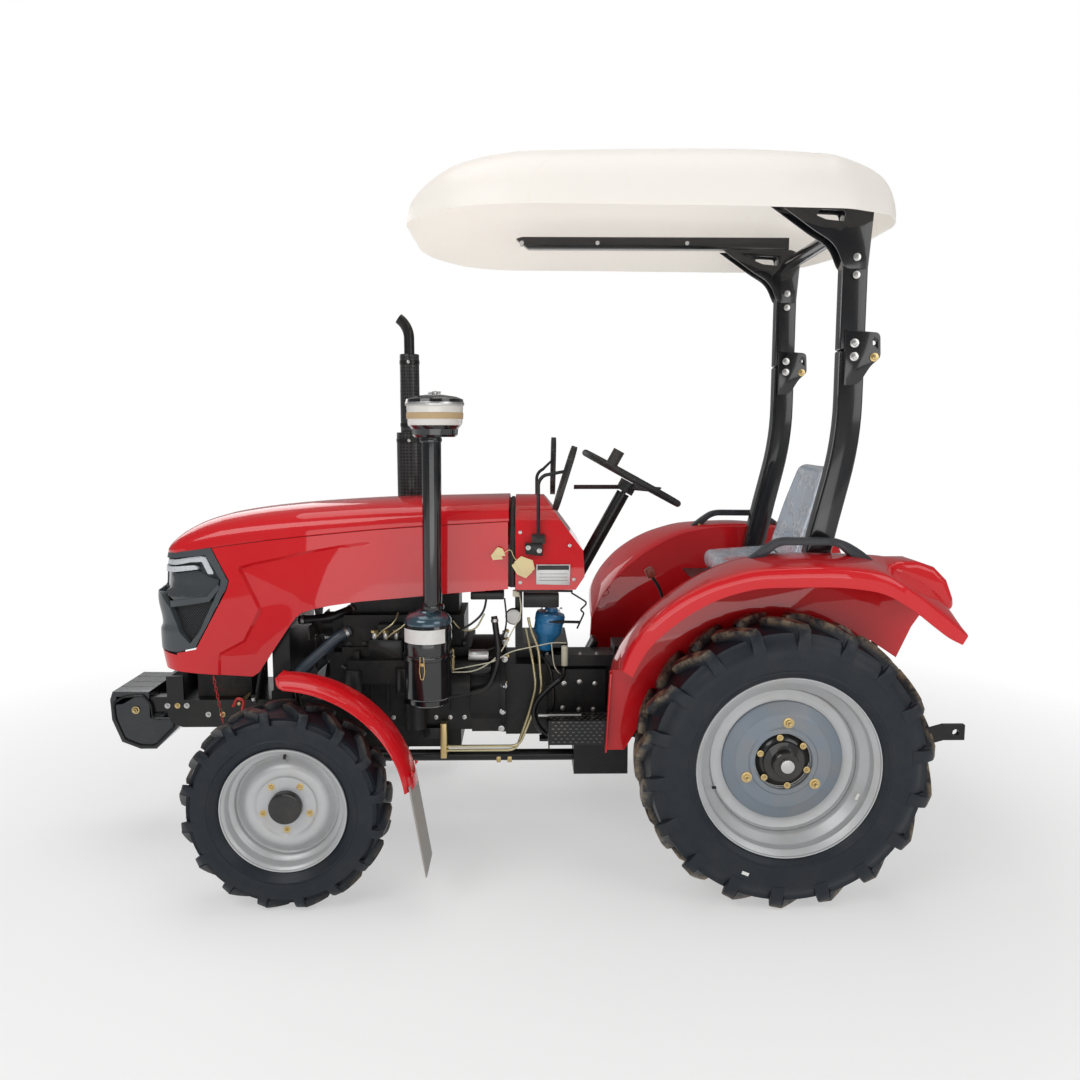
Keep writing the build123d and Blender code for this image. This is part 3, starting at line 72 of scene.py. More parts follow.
camera_data = bpy.data.cameras.new("camera")
camera_data.lens = 30.17
camera_data.sensor_width = 36.0
camera_data.clip_end = 60.0
camera = bpy.data.objects.new("camera", camera_data)
camera.location = (0.0018, -3.245, 1.4546)
camera.rotation_euler = (math.radians(90 - 6.84), 0.0, math.radians(-0.89))
bpy.context.collection.objects.link(camera)
bpy.context.scene.camera = camera
bpy.context.scene.view_settings.view_transform = "Standard"

FLOOR_HALF = 14.0
bm = bmesh.new()
bmesh.ops.create_grid(bm, x_segments=1, y_segments=1, size=FLOOR_HALF)
floor_mesh = bpy.data.meshes.new("floor")
bm.to_mesh(floor_mesh)
bm.free()
floor = bpy.data.objects.new("floor", floor_mesh)
bpy.context.collection.objects.link(floor)
floor_paint = bpy.data.materials.new("studio_floor")
floor_paint.use_nodes = True
tree = floor_paint.node_tree
shader = tree.nodes["Principled BSDF"]
dial(shader, {"Base Color": (0.93, 0.93, 0.93, 1.0), "Roughness": 0.9, "Specular IOR Level": 0.1})
# the floor fades to plain white away from the tractor, so it has no horizon
WHITE_FROM, WHITE_TO = 1.7, 3.4
NEAR_GLOW = 0.45             # share of plain white right under the tractor
apart = tree.nodes.new("ShaderNodeVectorMath")
apart.operation = "LENGTH"
tree.links.new(tree.nodes.new("ShaderNodeTexCoord").outputs["Object"], apart.inputs[0])
fade = tree.nodes.new("ShaderNodeMapRange")
dial(fade, {"From Min": WHITE_FROM, "From Max": WHITE_TO, "To Min": NEAR_GLOW})
tree.links.new(apart.outputs["Value"], fade.inputs["Value"])
glow = tree.nodes.new("ShaderNodeEmission")
show_mix(tree, fade.outputs["Result"], shader.outputs["BSDF"], glow.outputs["Emission"],
         "Material Output")
floor.data.materials.append(floor_paint)

world = bpy.data.worlds.new("studio")
bpy.context.scene.world = world
world.use_nodes = True
tree = world.node_tree
soft_sky = tree.nodes["Background"]
dial(soft_sky, {"Color": (1.0, 1.0, 1.0, 1.0), "Strength": 0.24})
white_sky = tree.nodes.new("ShaderNodeBackground")
dial(white_sky, {"Color": (1.0, 1.0, 1.0, 1.0), "Strength": 1.0})
light_path = tree.nodes.new("ShaderNodeLightPath")
show_mix(tree, light_path.outputs["Is Camera Ray"], soft_sky.outputs["Background"],
         white_sky.outputs["Background"], "World Output")

# name, place, aim, width, height, power
SOFT_LIGHTS = (
    ("key_light", (-2.6, -3.6, 4.2), (0.0, 0.0, 0.9), 3.2, 2.2, 88.0),
    ("side_light", (3.4, -3.2, 2.6), (0.4, 0.0, 0.9), 2.4, 2.4, 44.0),
    ("top_light", (0.0, 0.4, 5.2), (0.0, 0.0, 0.8), 4.5, 3.0, 92.0),
    ("back_light", (-3.0, 3.8, 2.8), (0.0, 0.0, 1.0), 3.0, 2.0, 34.0),
    ("low_light", (0.2, -4.2, 0.9), (0.0, 0.0, 0.6), 4.0, 0.9, 24.0),
)
for light_name, place, aim, width, height, power in SOFT_LIGHTS:
    light_data = bpy.data.lights.new(light_name, "AREA")
    light_data.shape = "RECTANGLE"
    light_data.size = width
    light_data.size_y = height
    light_data.energy = power
    light = bpy.data.objects.new(light_name, light_data)
    light.location = place
    light.rotation_euler = (Vector(aim) - Vector(place)).to_track_quat("-Z", "Y").to_euler()
    bpy.context.collection.objects.link(light)

# ---- tyres ----
# Farm tyres in black rubber: a rounded carcass with a bead ring and a rib on the wall,
# and two rows of tall bars that meet in a chevron and run over the shoulder. The bars'
# faces carry dried tan soil.
def add_object(name, bm, body, materials, replaced=(), sharp=38.0):
    """Turn a bmesh into a shown piece that rides on a body."""
    bmesh.ops.remove_doubles(bm, verts=bm.verts, dist=1e-6)
    bmesh.ops.recalc_face_normals(bm, faces=bm.faces)
    mesh = bpy.data.meshes.new(name)
    bm.to_mesh(mesh)
    bm.free()
    for material in materials:
        mesh.materials.append(material)
    mesh.shade_smooth()
    mesh.set_sharp_from_angle(angle=math.radians(sharp))
    piece = bpy.data.objects.new(name, mesh)
    bpy.context.collection.objects.link(piece)
    if replaced:
        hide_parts(*replaced)
    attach(piece, body)
    return piece


def lathe(bm, centre, axis, profile, steps, slot=0):
    """Turn (radius, along) points about an axis through centre, as a closed ring of faces."""
    axis = Vector(axis).normalized()
    across = axis.orthogonal().normalized()
    rim_verts = []
    for radius, along in profile:
        rim_verts.append(bm.verts.new(Vector(centre) + across * radius + axis * along))
    rim_edges = [bm.edges.new(pair) for pair in zip(rim_verts, rim_verts[1:])]
    made = bmesh.ops.spin(bm, geom=rim_verts + rim_edges, cent=centre, axis=axis,
                          angle=math.tau, steps=steps, use_merge=True)
    faces = {face for item in made["geom_last"] if isinstance(item, bmesh.types.BMVert)
             for face in item.link_faces}
    todo = list(faces)
    while todo:
        face = todo.pop()
        face.material_index = slot
        for edge in face.edges:
            for other in edge.link_faces:
                if other not in faces:
                    faces.add(other)
                    todo.append(other)
    bmesh.ops.remove_doubles(bm, verts=[v for v in {v for f in faces for v in f.verts}
                                        if v.is_valid], dist=1e-6)


def skin_rows(bm, rows):
    """Fill between neighbouring rows of vertices with faces; gives the faces."""
    return [bm.faces.new((first[step], first[step + 1], second[step + 1], second[step]))
            for first, second in zip(rows, rows[1:]) for step in range(len(first) - 1)]


def object_axes(tree):
    """A place in the object's own coordinates, and its X, Y and Z sockets."""
    place = tree.nodes.new("ShaderNodeTexCoord").outputs["Object"]
    apart = tree.nodes.new("ShaderNodeSeparateXYZ")
    tree.links.new(place, apart.inputs[0])
    return place, apart.outputs["X"], apart.outputs["Y"], apart.outputs["Z"]


def math_node(tree, operation, first, second=None):
    """A math node fed by sockets or plain numbers; gives its output socket."""
    node = tree.nodes.new("ShaderNodeMath")
    node.operation = operation
    for place, value in enumerate((first, second)):
        if value is None:
            continue
        if isinstance(value, (int, float)):
            node.inputs[place].default_value = value
        else:
            tree.links.new(value, node.inputs[place])
    return node.outputs[0]


def noise_node(tree, vector, scale, detail=4.0, roughness=0.55):
    """Noise in the object's own coordinates; gives its factor socket."""
    node = tree.nodes.new("ShaderNodeTexNoise")
    dial(node, {"Scale": scale, "Detail": detail, "Roughness": roughness})
    tree.links.new(vector, node.inputs["Vector"])
    return node.outputs["Fac"]


def span_node(tree, value, low, high, to_low=0.0, to_high=1.0):
    """Map a value from one range to another, held at the ends."""
    node = tree.nodes.new("ShaderNodeMapRange")
    dial(node, {"From Min": low, "From Max": high, "To Min": to_low, "To Max": to_high})
    tree.links.new(value, node.inputs["Value"])
    return node.outputs["Result"]


def mix_colours(tree, factor, first, second):
    """Mix two colours, each a socket or an RGB triple."""
    node = tree.nodes.new("ShaderNodeMix")
    node.data_type = "RGBA"
    tree.links.new(factor, node.inputs["Factor"])
    for socket, value in ((node.inputs[6], first), (node.inputs[7], second)):
        if isinstance(value, tuple):
            socket.default_value = (*value, 1.0)
        else:
            tree.links.new(value, socket)
    return node.outputs[2]


def bump_node(tree, height, strength, distance):
    """A bump from a height socket; gives its normal socket."""
    node = tree.nodes.new("ShaderNodeBump")
    dial(node, {"Strength": strength, "Distance": distance})
    tree.links.new(height, node.inputs["Height"])
    return node.outputs["Normal"]


# Surface: what every finish shares. Broad is a slow variation, Fine a close grain, and
# Grime is a patchy mask for dust and dried soil.
surface_group = bpy.data.node_groups.new("surface", "ShaderNodeTree")
for socket_name in ("Broad", "Fine", "Grime"):
    surface_group.interface.new_socket(socket_name, in_out="OUTPUT",
                                       socket_type="NodeSocketFloat")
group_out = surface_group.nodes.new("NodeGroupOutput")
object_place = surface_group.nodes.new("ShaderNodeTexCoord").outputs["Object"]
surface_group.links.new(noise_node(surface_group, object_place, 2.6), group_out.inputs["Broad"])
surface_group.links.new(noise_node(surface_group, object_place, 420.0, 2.0),
                        group_out.inputs["Fine"])
patches = noise_node(surface_group, object_place, 9.0, 8.0, 0.68)
surface_group.links.new(span_node(surface_group, patches, 0.45, 0.72), group_out.inputs["Grime"])
DRIED_SOIL = (0.36, 0.28, 0.19)


def finish(name, colour, roughness, metallic=0.0, coat=0.0, grime=0.15, grain=0.1,
           grain_size=0.0004, shade=0.08, specular=0.3):
    """A procedural finish: colour that varies slowly, a grain, and dust in patches."""
    material = bpy.data.materials.new(name)
    material.use_nodes = True
    tree = material.node_tree
    shader = tree.nodes["Principled BSDF"]
    surface = tree.nodes.new("ShaderNodeGroup")
    surface.node_tree = surface_group
    dark = tuple(channel * (1.0 - shade) for channel in colour)
    light = tuple(min(channel * (1.0 + shade), 1.0) for channel in colour)
    base = mix_colours(tree, surface.outputs["Broad"], dark, light)
    dust = math_node(tree, "MULTIPLY", surface.outputs["Grime"], grime)
    tree.links.new(mix_colours(tree, dust, base, DRIED_SOIL), shader.inputs["Base Color"])
    tree.links.new(span_node(tree, surface.outputs["Broad"], 0.2, 0.8, roughness * 0.85,
                             min(roughness * 1.15, 1.0)), shader.inputs["Roughness"])
    tree.links.new(bump_node(tree, surface.outputs["Fine"], grain, grain_size),
                   shader.inputs["Normal"])
    dial(shader, {"Metallic": metallic, "Specular IOR Level": specular, "Coat Weight": coat,
                  "Coat Roughness": 0.06})
    return material


def tyre_rubber(name, centre, tread_radius, bar_height, soiled):
    """Black rubber, tinted blue as a painted sheen, whose bar faces, near the outside radius, carry
    dried soil.
    """
    # the blue in this near-black rubber colour is a painted sheen of the sky on the bars
    material = finish(name, (0.0105, 0.015, 0.0215), 0.42, grime=0.03, grain=0.35,
                      grain_size=0.0008)
    tree = material.node_tree
    shader = tree.nodes["Principled BSDF"]
    place, x, _, z = object_axes(tree)
    along = math_node(tree, "SUBTRACT", x, centre[0])
    up = math_node(tree, "SUBTRACT", z, centre[2])
    radius = math_node(tree, "SQRT", math_node(
        tree, "ADD", math_node(tree, "MULTIPLY", along, along),
        math_node(tree, "MULTIPLY", up, up)))
    tips = span_node(tree, radius, tread_radius - bar_height * 0.95,
                     tread_radius - bar_height * 0.1)
    patches = span_node(tree, noise_node(tree, place, 26.0, 8.0, 0.7), 0.42, 0.6)
    soil = math_node(tree, "MULTIPLY", math_node(tree, "MULTIPLY", tips, patches), soiled)
    clean = shader.inputs["Base Color"].links[0].from_socket
    tree.links.new(mix_colours(tree, soil, clean, (0.34, 0.26, 0.165)),
                   shader.inputs["Base Color"])
    return material


SHOULDER = 0.74              # share of a bar's length that lies on the tread


def bar_station(share, spec):
    """Centre line of a bar: lateral place, lag along the tread, top radius, base radius."""
    on_tread = min(share / SHOULDER, 1.0)
    lateral = spec["inner"] + (spec["edge"] - spec["inner"]) * on_tread
    lag = spec["sweep"] * on_tread ** 0.86
    over = max(share - SHOULDER, 0.0) / (1.0 - SHOULDER)
    crown = 0.012 * (lateral / spec["edge"]) ** 2
    top = spec["radius"] - crown - over * spec["wall_run"]
    base = spec["carcass"] - crown - over * (spec["wall_run"] - 0.004)
    lateral += math.sin(over * math.pi / 2) * (spec["width"] / 2 - spec["edge"]) * 0.98
    return lateral, lag, top, base


BAR_STATIONS = 15
# cross-section of a bar: share of the half width, share of the height
BAR_SECTION = ((-1.25, -0.12), (-1.08, 0.55), (-0.98, 0.9), (-0.84, 1.0), (0.84, 1.0),
               (0.98, 0.9), (1.08, 0.55), (1.25, -0.12))


def make_tyre(name, node, body, centre, spec, material):
    """Carcass turned from its section, with bars swept from the middle over the shoulder."""
    half = spec["width"] / 2
    rim, carcass = spec["rim"], spec["carcass"]
    wall = (rim + carcass) / 2
    half_profile = (
        (rim - 0.004, spec["bead"] - 0.012), (rim + 0.004, spec["bead"] - 0.003),
        (rim + 0.012, spec["bead"] + 0.003), (rim + 0.016, half - 0.016),
        (rim + 0.02, half - 0.011), (rim + 0.03, half - 0.006), (rim + 0.033, half - 0.003),
        (rim + 0.037, half - 0.003), (rim + 0.04, half - 0.005), (wall - 0.004, half - 0.001),
        (wall + 0.012, half), (wall + 0.03, half - 0.003), (carcass - 0.034, half - 0.012),
        (carcass - 0.018, half - 0.022), (carcass - 0.009, spec["edge"] - 0.002),
        (carcass - 0.005, spec["edge"] - 0.022), (carcass - 0.001, spec["edge"] * 0.45),
        (carcass, 0.0))
    profile = list(half_profile) + [(r, -a) for r, a in reversed(half_profile[:-1])]
    bm = bmesh.new()
    lathe(bm, centre, (0.0, 1.0, 0.0), profile, spec["steps"])
    pitch = math.tau / spec["bars"]
    for row, row_side in enumerate((-1.0, 1.0)):
        for number in range(spec["bars"]):
            start = (number + row * 0.5) * pitch
            rings = []
            for step in range(BAR_STATIONS):
                share = step / (BAR_STATIONS - 1)
                lateral, lag, top, base = bar_station(share, spec)
                near = bar_station(min(share + 0.03, 1.0), spec)
                far = bar_station(max(share - 0.03, 0.0), spec)
                run_lateral = near[0] - far[0]
                run_round = (near[1] - far[1]) * -1.0
                length = math.hypot(run_lateral, run_round) or 1.0
                half_width = spec["bar_width"] / 2 * (0.84 + 0.36 * share)
                nose = min(share / 0.05, 1.0) ** 0.5
                tail = min((1.0 - share) / 0.08, 1.0) ** 0.5
                # past the shoulder a bar turns nearly square to the wheel
                skew, run = (1.0, run_lateral / length) if share < 0.7 else (0.35, 1.0)
                rise = (top - base) * (0.75 + 0.25 * nose) * (0.35 + 0.65 * tail)
                ring = []
                for across, height in BAR_SECTION:
                    offset = across * half_width * (0.72 + 0.28 * nose)
                    lat = lateral + offset * (-run_round / length) * skew
                    round_way = -lag + offset * run
                    radius = base + rise * height
                    angle = start + round_way / spec["radius"]
                    ring.append(bm.verts.new((centre.x + radius * math.cos(angle),
                                              centre.y + row_side * lat,
                                              centre.z + radius * math.sin(angle))))
                rings.append(ring)
            skin_rows(bm, rings)
            bm.faces.new(rings[0])
            bm.faces.new(list(reversed(rings[-1])))
    bmesh.ops.recalc_face_normals(bm, faces=bm.faces)
    tyre = add_object(name, bm, body, [material], (node,), sharp=32.0)


# soiled: how much of the bars' faces dried soil covers
TYRES = {
    "front": dict(radius=0.32, carcass=0.299, rim=0.186, bead=0.06, width=0.165, edge=0.066,
                  inner=0.004, sweep=0.078, wall_run=0.036, bar_width=0.026, bars=16, steps=96,
                  soiled=0.22),
    "rear": dict(radius=0.452, carcass=0.424, rim=0.266, bead=0.094, width=0.241, edge=0.1,
                 inner=0.006, sweep=0.112, wall_run=0.05, bar_width=0.034, bars=18, steps=112,
                 soiled=0.8),
}
for axle, spec in TYRES.items():
    for hand in ("left", "right"):
        node = f"{axle}_tyre_{hand}"
        low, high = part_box(node)
        centre = (Vector(low) + Vector(high)) / 2
        rubber = tyre_rubber(f"{axle}_rubber_{hand}", centre, spec["radius"],
                             spec["radius"] - spec["carcass"], spec["soiled"])
        make_tyre(f"{axle}_tyre_{hand}_rubber", node, f"wheel_{axle}_{hand}", centre, spec, rubber)

# ---- rims ----
# Pressed steel rims in satin silver, with a dished disc held by plated bolts. The rear
# ones have a blue-grey centre plate with three long studs, and the hub shows black.
def bolt(bm, place, out, size, slot, length=None, washer=True):
    """Hexagon head with a washer and the end of its thread, pointing out."""
    out = Vector(out).normalized()
    turn = out.to_track_quat("Z", "Y").to_matrix().to_4x4()
    length = size * 0.55 if length is None else length
    parts = ((24, size * 0.98, size * 0.14, 0.0), (6, size * 0.62, size * 0.5, size * 0.12),
             (16, size * 0.34, length, size * 0.5))
    for segments, radius, depth, lift in parts if washer else parts[1:]:
        made = bmesh.ops.create_cone(
            bm, cap_ends=True, segments=segments, radius1=radius, radius2=radius, depth=depth,
            matrix=Matrix.Translation(Vector(place) + out * (lift + depth / 2)) @ turn)
        faces = {face for vert in made["verts"] for face in vert.link_faces}
        for face in faces:
            face.material_index = slot
        ends = [edge for edge in {e for f in faces for e in f.edges}
                if abs((edge.verts[0].co - edge.verts[1].co).dot(out)) < depth * 0.4]
        bmesh.ops.bevel(bm, geom=ends, offset=min(depth, radius) * 0.16, segments=2,
                        profile=0.5, affect="EDGES", material=-1)


def rod(bm, start, end, radius, slot=0, segments=24, bevel=0.0):
    """Round bar between two points, its end edges eased."""
    start, end = Vector(start), Vector(end)
    turn = (end - start).to_track_quat("Z", "Y").to_matrix().to_4x4()
    made = bmesh.ops.create_cone(
        bm, cap_ends=True, segments=segments, radius1=radius, radius2=radius,
        depth=(end - start).length, matrix=Matrix.Translation((start + end) / 2) @ turn)
    faces = {face for vert in made["verts"] for face in vert.link_faces}
    for face in faces:
        face.material_index = slot
    if bevel:
        ends = [edge for edge in {e for f in faces for e in f.edges}
                if len([f for f in edge.link_faces if len(f.verts) > 4]) == 1]
        bmesh.ops.bevel(bm, geom=ends, offset=bevel, segments=2, profile=0.5,
                        affect="EDGES", material=-1)


def slab(bm, low, high, bevel=0.003, slot=0):
    """Box between two corners with eased edges."""
    low, high = Vector(low), Vector(high)
    size = high - low
    made = bmesh.ops.create_cube(
        bm, size=1.0, matrix=Matrix.Translation((low + high) / 2)
        @ Matrix.Diagonal((abs(size.x), abs(size.y), abs(size.z), 1.0)))
    faces = {face for vert in made["verts"] for face in vert.link_faces}
    for face in faces:
        face.material_index = slot
    if bevel:
        bmesh.ops.bevel(bm, geom=list({e for f in faces for e in f.edges}), offset=bevel,
                        segments=2, profile=0.5, affect="EDGES", material=-1)


silver_paint = finish("rim_silver", (0.5, 0.51, 0.52), 0.42, metallic=0.35, coat=0.15,
                      grime=0.22, grain=0.12)
centre_paint = finish("rim_centre_grey", (0.2, 0.235, 0.275), 0.46, metallic=0.2, coat=0.1,
                      grime=0.3)
gloss_black = finish("gloss_black", (0.012, 0.012, 0.013), 0.28, coat=0.5, grime=0.08)
plated_bolt = finish("plated_bolt", (0.62, 0.47, 0.22), 0.34, metallic=0.9, grime=0.25)
bright_steel = finish("bright_steel", (0.55, 0.55, 0.54), 0.32, metallic=0.9, grime=0.15)
dark_rubber = finish("dark_rubber", (0.018, 0.018, 0.019), 0.6, grime=0.15, grain=0.3)
label_white = finish("blank_label", (0.74, 0.75, 0.73), 0.55, grime=0.25)
WHEEL_PAINTS = [silver_paint, centre_paint, gloss_black, plated_bolt, bright_steel,
                dark_rubber, label_white]
SILVER, CENTRE, BLACK, PLATED, STEEL, RUBBER, LABEL = range(7)

# radius and distance outboard of mid-wheel, in metres, from the outer flange inwards
FRONT_RIM = ((0.193, 0.064), (0.1915, 0.0662), (0.1885, 0.0655), (0.187, 0.061),
             (0.18, 0.056), (0.1775, 0.052), (0.1755, 0.033), (0.1735, 0.028),
             (0.164, 0.023), (0.16, 0.018), (0.159, 0.006), (0.159, -0.006),
             (0.164, -0.018), (0.173, -0.024), (0.1775, -0.05), (0.187, -0.06),
             (0.193, -0.0655), (0.193, -0.059), (0.18, -0.048), (0.179, -0.025),
             (0.165, -0.006), (0.165, 0.016), (0.178, 0.028), (0.183, 0.05),
             (0.193, 0.058), (0.193, 0.064))
FRONT_DISC = ((0.159, 0.0065), (0.156, 0.008), (0.152, 0.004), (0.144, 0.007),
              (0.134, 0.018), (0.124, 0.027), (0.112, 0.0305), (0.1, 0.029),
              (0.095, 0.0262), (0.0905, 0.0235), (0.05, 0.0235), (0.05, 0.017),
              (0.09, 0.017), (0.1, 0.022), (0.124, 0.02), (0.14, 0.006),
              (0.159, 0.001))
REAR_RIM = ((0.281, 0.1015), (0.2795, 0.104), (0.2765, 0.1035), (0.275, 0.0985),
            (0.264, 0.09), (0.26, 0.086), (0.257, 0.066), (0.254, 0.061),
            (0.233, 0.048), (0.228, 0.04), (0.2265, 0.024), (0.2265, -0.024),
            (0.229, -0.04), (0.254, -0.06), (0.26, -0.086), (0.275, -0.096),
            (0.281, -0.103), (0.281, -0.094), (0.266, -0.082), (0.264, -0.058),
            (0.234, -0.03), (0.234, 0.03), (0.264, 0.06), (0.268, 0.082),
            (0.281, 0.094), (0.281, 0.1015))
REAR_DISC = ((0.2265, 0.027), (0.224, 0.03), (0.22, 0.018), (0.208, 0.014),
             (0.19, 0.015), (0.186, 0.017), (0.15, 0.024), (0.144, 0.0285),
             (0.138, 0.03), (0.09, 0.03), (0.085, 0.03), (0.085, 0.02),
             (0.138, 0.02), (0.19, 0.005), (0.2265, 0.013))
REAR_PLATE = ((0.187, 0.018), (0.185, 0.025), (0.18, 0.028), (0.156, 0.03),
              (0.15, 0.034), (0.144, 0.036), (0.108, 0.037), (0.103, 0.041),
              (0.09, 0.042), (0.088, 0.04), (0.087, 0.03))
FRONT_CAP = ((0.05, 0.02), (0.05, 0.044), (0.048, 0.048), (0.043, 0.05),
             (0.0, 0.051))
FRONT_HUB = ((0.0, -0.038), (0.028, -0.038), (0.028, -0.012), (0.0515, -0.012),
             (0.052, 0.018), (0.05, 0.022))
REAR_HUB = ((0.0, -0.089), (0.032, -0.089), (0.032, -0.064), (0.085, -0.064),
            (0.085, 0.018), (0.07, 0.033), (0.064, 0.036), (0.062, 0.044),
            (0.05, 0.047), (0.042, 0.05), (0.04, 0.072), (0.037, 0.0745),
            (0.0, 0.075))


def wheel_point(centre, side, radius, angle, out):
    """A point of a wheel: radius and angle in its side view, and distance outboard."""
    return Vector((centre.x + radius * math.cos(angle), centre.y + side * out,
                   centre.z + radius * math.sin(angle)))


# for each axle: the turned parts with their finish; bolts as number, first angle in degrees,
# circle, seat, size and thread; and the valve as angle, then radius and place of root and tip
WHEELS = {
    "front": (((FRONT_RIM, SILVER), (FRONT_DISC, SILVER), (FRONT_CAP, BLACK), (FRONT_HUB, BLACK)),
              ((5, 54, 0.075, 0.0232, 0.0115, 0.01),), (90, 0.168, 0.01, 0.15, 0.028)),
    "rear": (((REAR_RIM, SILVER), (REAR_DISC, SILVER), (REAR_PLATE, CENTRE), (REAR_HUB, BLACK)),
             ((3, 84, 0.122, 0.0365, 0.017, 0.016), (6, 40, 0.0765, 0.04, 0.0105, 0.008)),
             (200, 0.25, 0.03, 0.222, 0.052)),
}
# blank white stickers on a rear wheel, on the rim well and the tyre's wall: radius, angle, place
STICKERS = ((0.246, -25, 0.0625), (0.343, -112, 0.1212))
STICKER_SIZE = (0.01, 0.0008, 0.022, 1)
for axle, (turned, bolts, valve) in WHEELS.items():
    for hand, side in (("left", -1.0), ("right", 1.0)):
        tyre_low, tyre_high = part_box(f"{axle}_tyre_{hand}")
        centre = (Vector(tyre_low) + Vector(tyre_high)) / 2
        out = (0.0, side, 0.0)
        bm = bmesh.new()
        for profile, slot in turned:
            lathe(bm, centre, out, profile, 96, slot)
        for count, first, circle, seat, size, thread in bolts:
            for number in range(count):
                angle = math.radians(first + 360 / count * number)
                bolt(bm, wheel_point(centre, side, circle, angle, seat), out, size, PLATED,
                     length=thread)
        if axle == "rear":
            rod(bm, wheel_point(centre, side, 0.0, 0.0, 0.074),
                wheel_point(centre, side, 0.0, 0.0, 0.086), 0.021, STEEL, 32, 0.002)
        angle = math.radians(valve[0])
        rod(bm, wheel_point(centre, side, valve[1], angle, valve[2]),
            wheel_point(centre, side, valve[3], angle, valve[4]), 0.0045, RUBBER, 16, 0.001)
        for radius, turn, lift in STICKERS if axle == "rear" else ():
            middle = wheel_point(centre, side, radius, math.radians(turn), lift)
            spin_way = Matrix.Rotation(-math.radians(turn), 4, "Y")
            made = bmesh.ops.create_cube(bm, size=1.0, matrix=Matrix.Translation(middle)
                                         @ spin_way @ Matrix.Diagonal(STICKER_SIZE))
            for face in {f for v in made["verts"] for f in v.link_faces}:
                face.material_index = LABEL
        rim = add_object(f"{axle}_wheel_{hand}", bm, f"wheel_{axle}_{hand}", WHEEL_PAINTS,
                         (f"{axle}_rim_{hand}",), sharp=30.0)

# ---- frame, castings and linkage ----
# The steel frame, the cast driveline and the hitch keep their CAD form. They are painted
# black after assembly, so paint lies over edges and castings alike, with road dust on it.
def paint_node(name, material, edge=0.0015):
    """Give a CAD node its finish and slightly eased edges."""
    node = nodes[name]
    if node.material_slots:
        for place in node.material_slots:
            place.material = material
    else:
        node.data.materials.append(material)
    if edge:
        eased = node.modifiers.new("eased_edges", "BEVEL")
        eased.width = edge
        eased.segments = 2
        eased.limit_method = "ANGLE"
        eased.angle_limit = math.radians(40)
        eased.harden_normals = False


frame_black = finish("frame_black", (0.0055, 0.0058, 0.0065), 0.34, coat=0.15, grime=0.03)
cast_black = finish("cast_black", (0.0065, 0.007, 0.008), 0.44, coat=0.06, grime=0.045, grain=0.6,
                    grain_size=0.0012)
# the blue in the weights' near-black colour is a painted sheen of the sky on their tops
weight_black = finish("weight_black", (0.008, 0.012, 0.018), 0.26, coat=0.6, grime=0.05)
# finish, width of the eased edges, nodes
FRAME_NODES = (
    (cast_black, 0.003, ("front_axle", "knuckle_left", "knuckle_right", "clutch_housing",
                         "gearbox", "rear_axle", "lift_housing", "engine_block",
                         "cylinder_head")),
    (cast_black, 0.002, ("engine_accessories",)),
    (weight_black, 0.004, ("front_weights",)),
    (frame_black, 0.002, ("front_frame", "drawbar", "lower_links", "lift_arms", "cowl_pillar",
                          "seat_pedestal", "radiator")),
    (frame_black, 0.001, ("tie_rod", "lift_rods")),
    (frame_black, 0.0008, ("foot_plates",)),
    (frame_black, 0.0, ("drive_shaft", "exhaust", "steering_column")),
    (dark_rubber, 0.003, ("battery",)),
    (dark_rubber, 0.001, ("fan",)),
)
for paint, edge, node_names in FRAME_NODES:
    for node_name in node_names:
        paint_node(node_name, paint, edge)

# ---- cowl, steering wheel and flaps ----
# The cowl is pressed sheet steel in a bright red baked enamel with a clear gloss. The
# steering wheel is moulded in black plastic, and the mud flaps are grey rubber.
def red_enamel(name):
    """The gloss red of all the sheet metal, with a sharp clear coat."""
    material = finish(name, (0.6, 0.0045, 0.01), 0.42, coat=0.8, grime=0.02, grain=0.02,
                      grain_size=0.0003, shade=0.05, specular=0.15)
    dial(material.node_tree.nodes["Principled BSDF"], {"Coat Roughness": 0.025})
    return material


red_paint = red_enamel("red_enamel")
dark_plastic = finish("dark_plastic", (0.022, 0.023, 0.025), 0.48, grime=0.1, grain=0.4)
flap_grey = finish("flap_grey", (0.34, 0.33, 0.31), 0.65, grime=0.35, grain=0.4)
for node_name, paint, edge in (("dash_cowl", red_paint, 0.0008),
                               ("steering_wheel", dark_plastic, 0.001),
                               ("mud_flap_left", flap_grey, 0.0),
                               ("mud_flap_right", flap_grey, 0.0)):
    paint_node(node_name, paint, edge)

# ---- hood ----
# Pressed sheet steel in the same red: a domed top skin that wraps over the nose, and two
# side panels with a sharp sweep and a folded rib behind the lamps. A dark strip in the
# joint between them is painted shade of the gap.
REAR_AXLE = 0.788            # distances ahead below are measured from the rear axle

# distance ahead, half width and height at the shoulder, height at the crest
HOOD_TOP = (
    (2.022, 0.1, 1.046, 1.047), (2.012, 0.15, 1.047, 1.068), (1.992, 0.178, 1.049, 1.092),
    (1.962, 0.197, 1.051, 1.116), (1.9, 0.208, 1.059, 1.147), (1.848, 0.211, 1.068, 1.163),
    (1.81, 0.212, 1.074, 1.172), (1.667, 0.213, 1.093, 1.193), (1.453, 0.214, 1.115, 1.211),
    (1.238, 0.214, 1.134, 1.222), (0.844, 0.214, 1.157, 1.231))
SKIRT_HALF_WIDTH = 0.239
SKIRT_Z = 0.628
SKIN = 0.0025


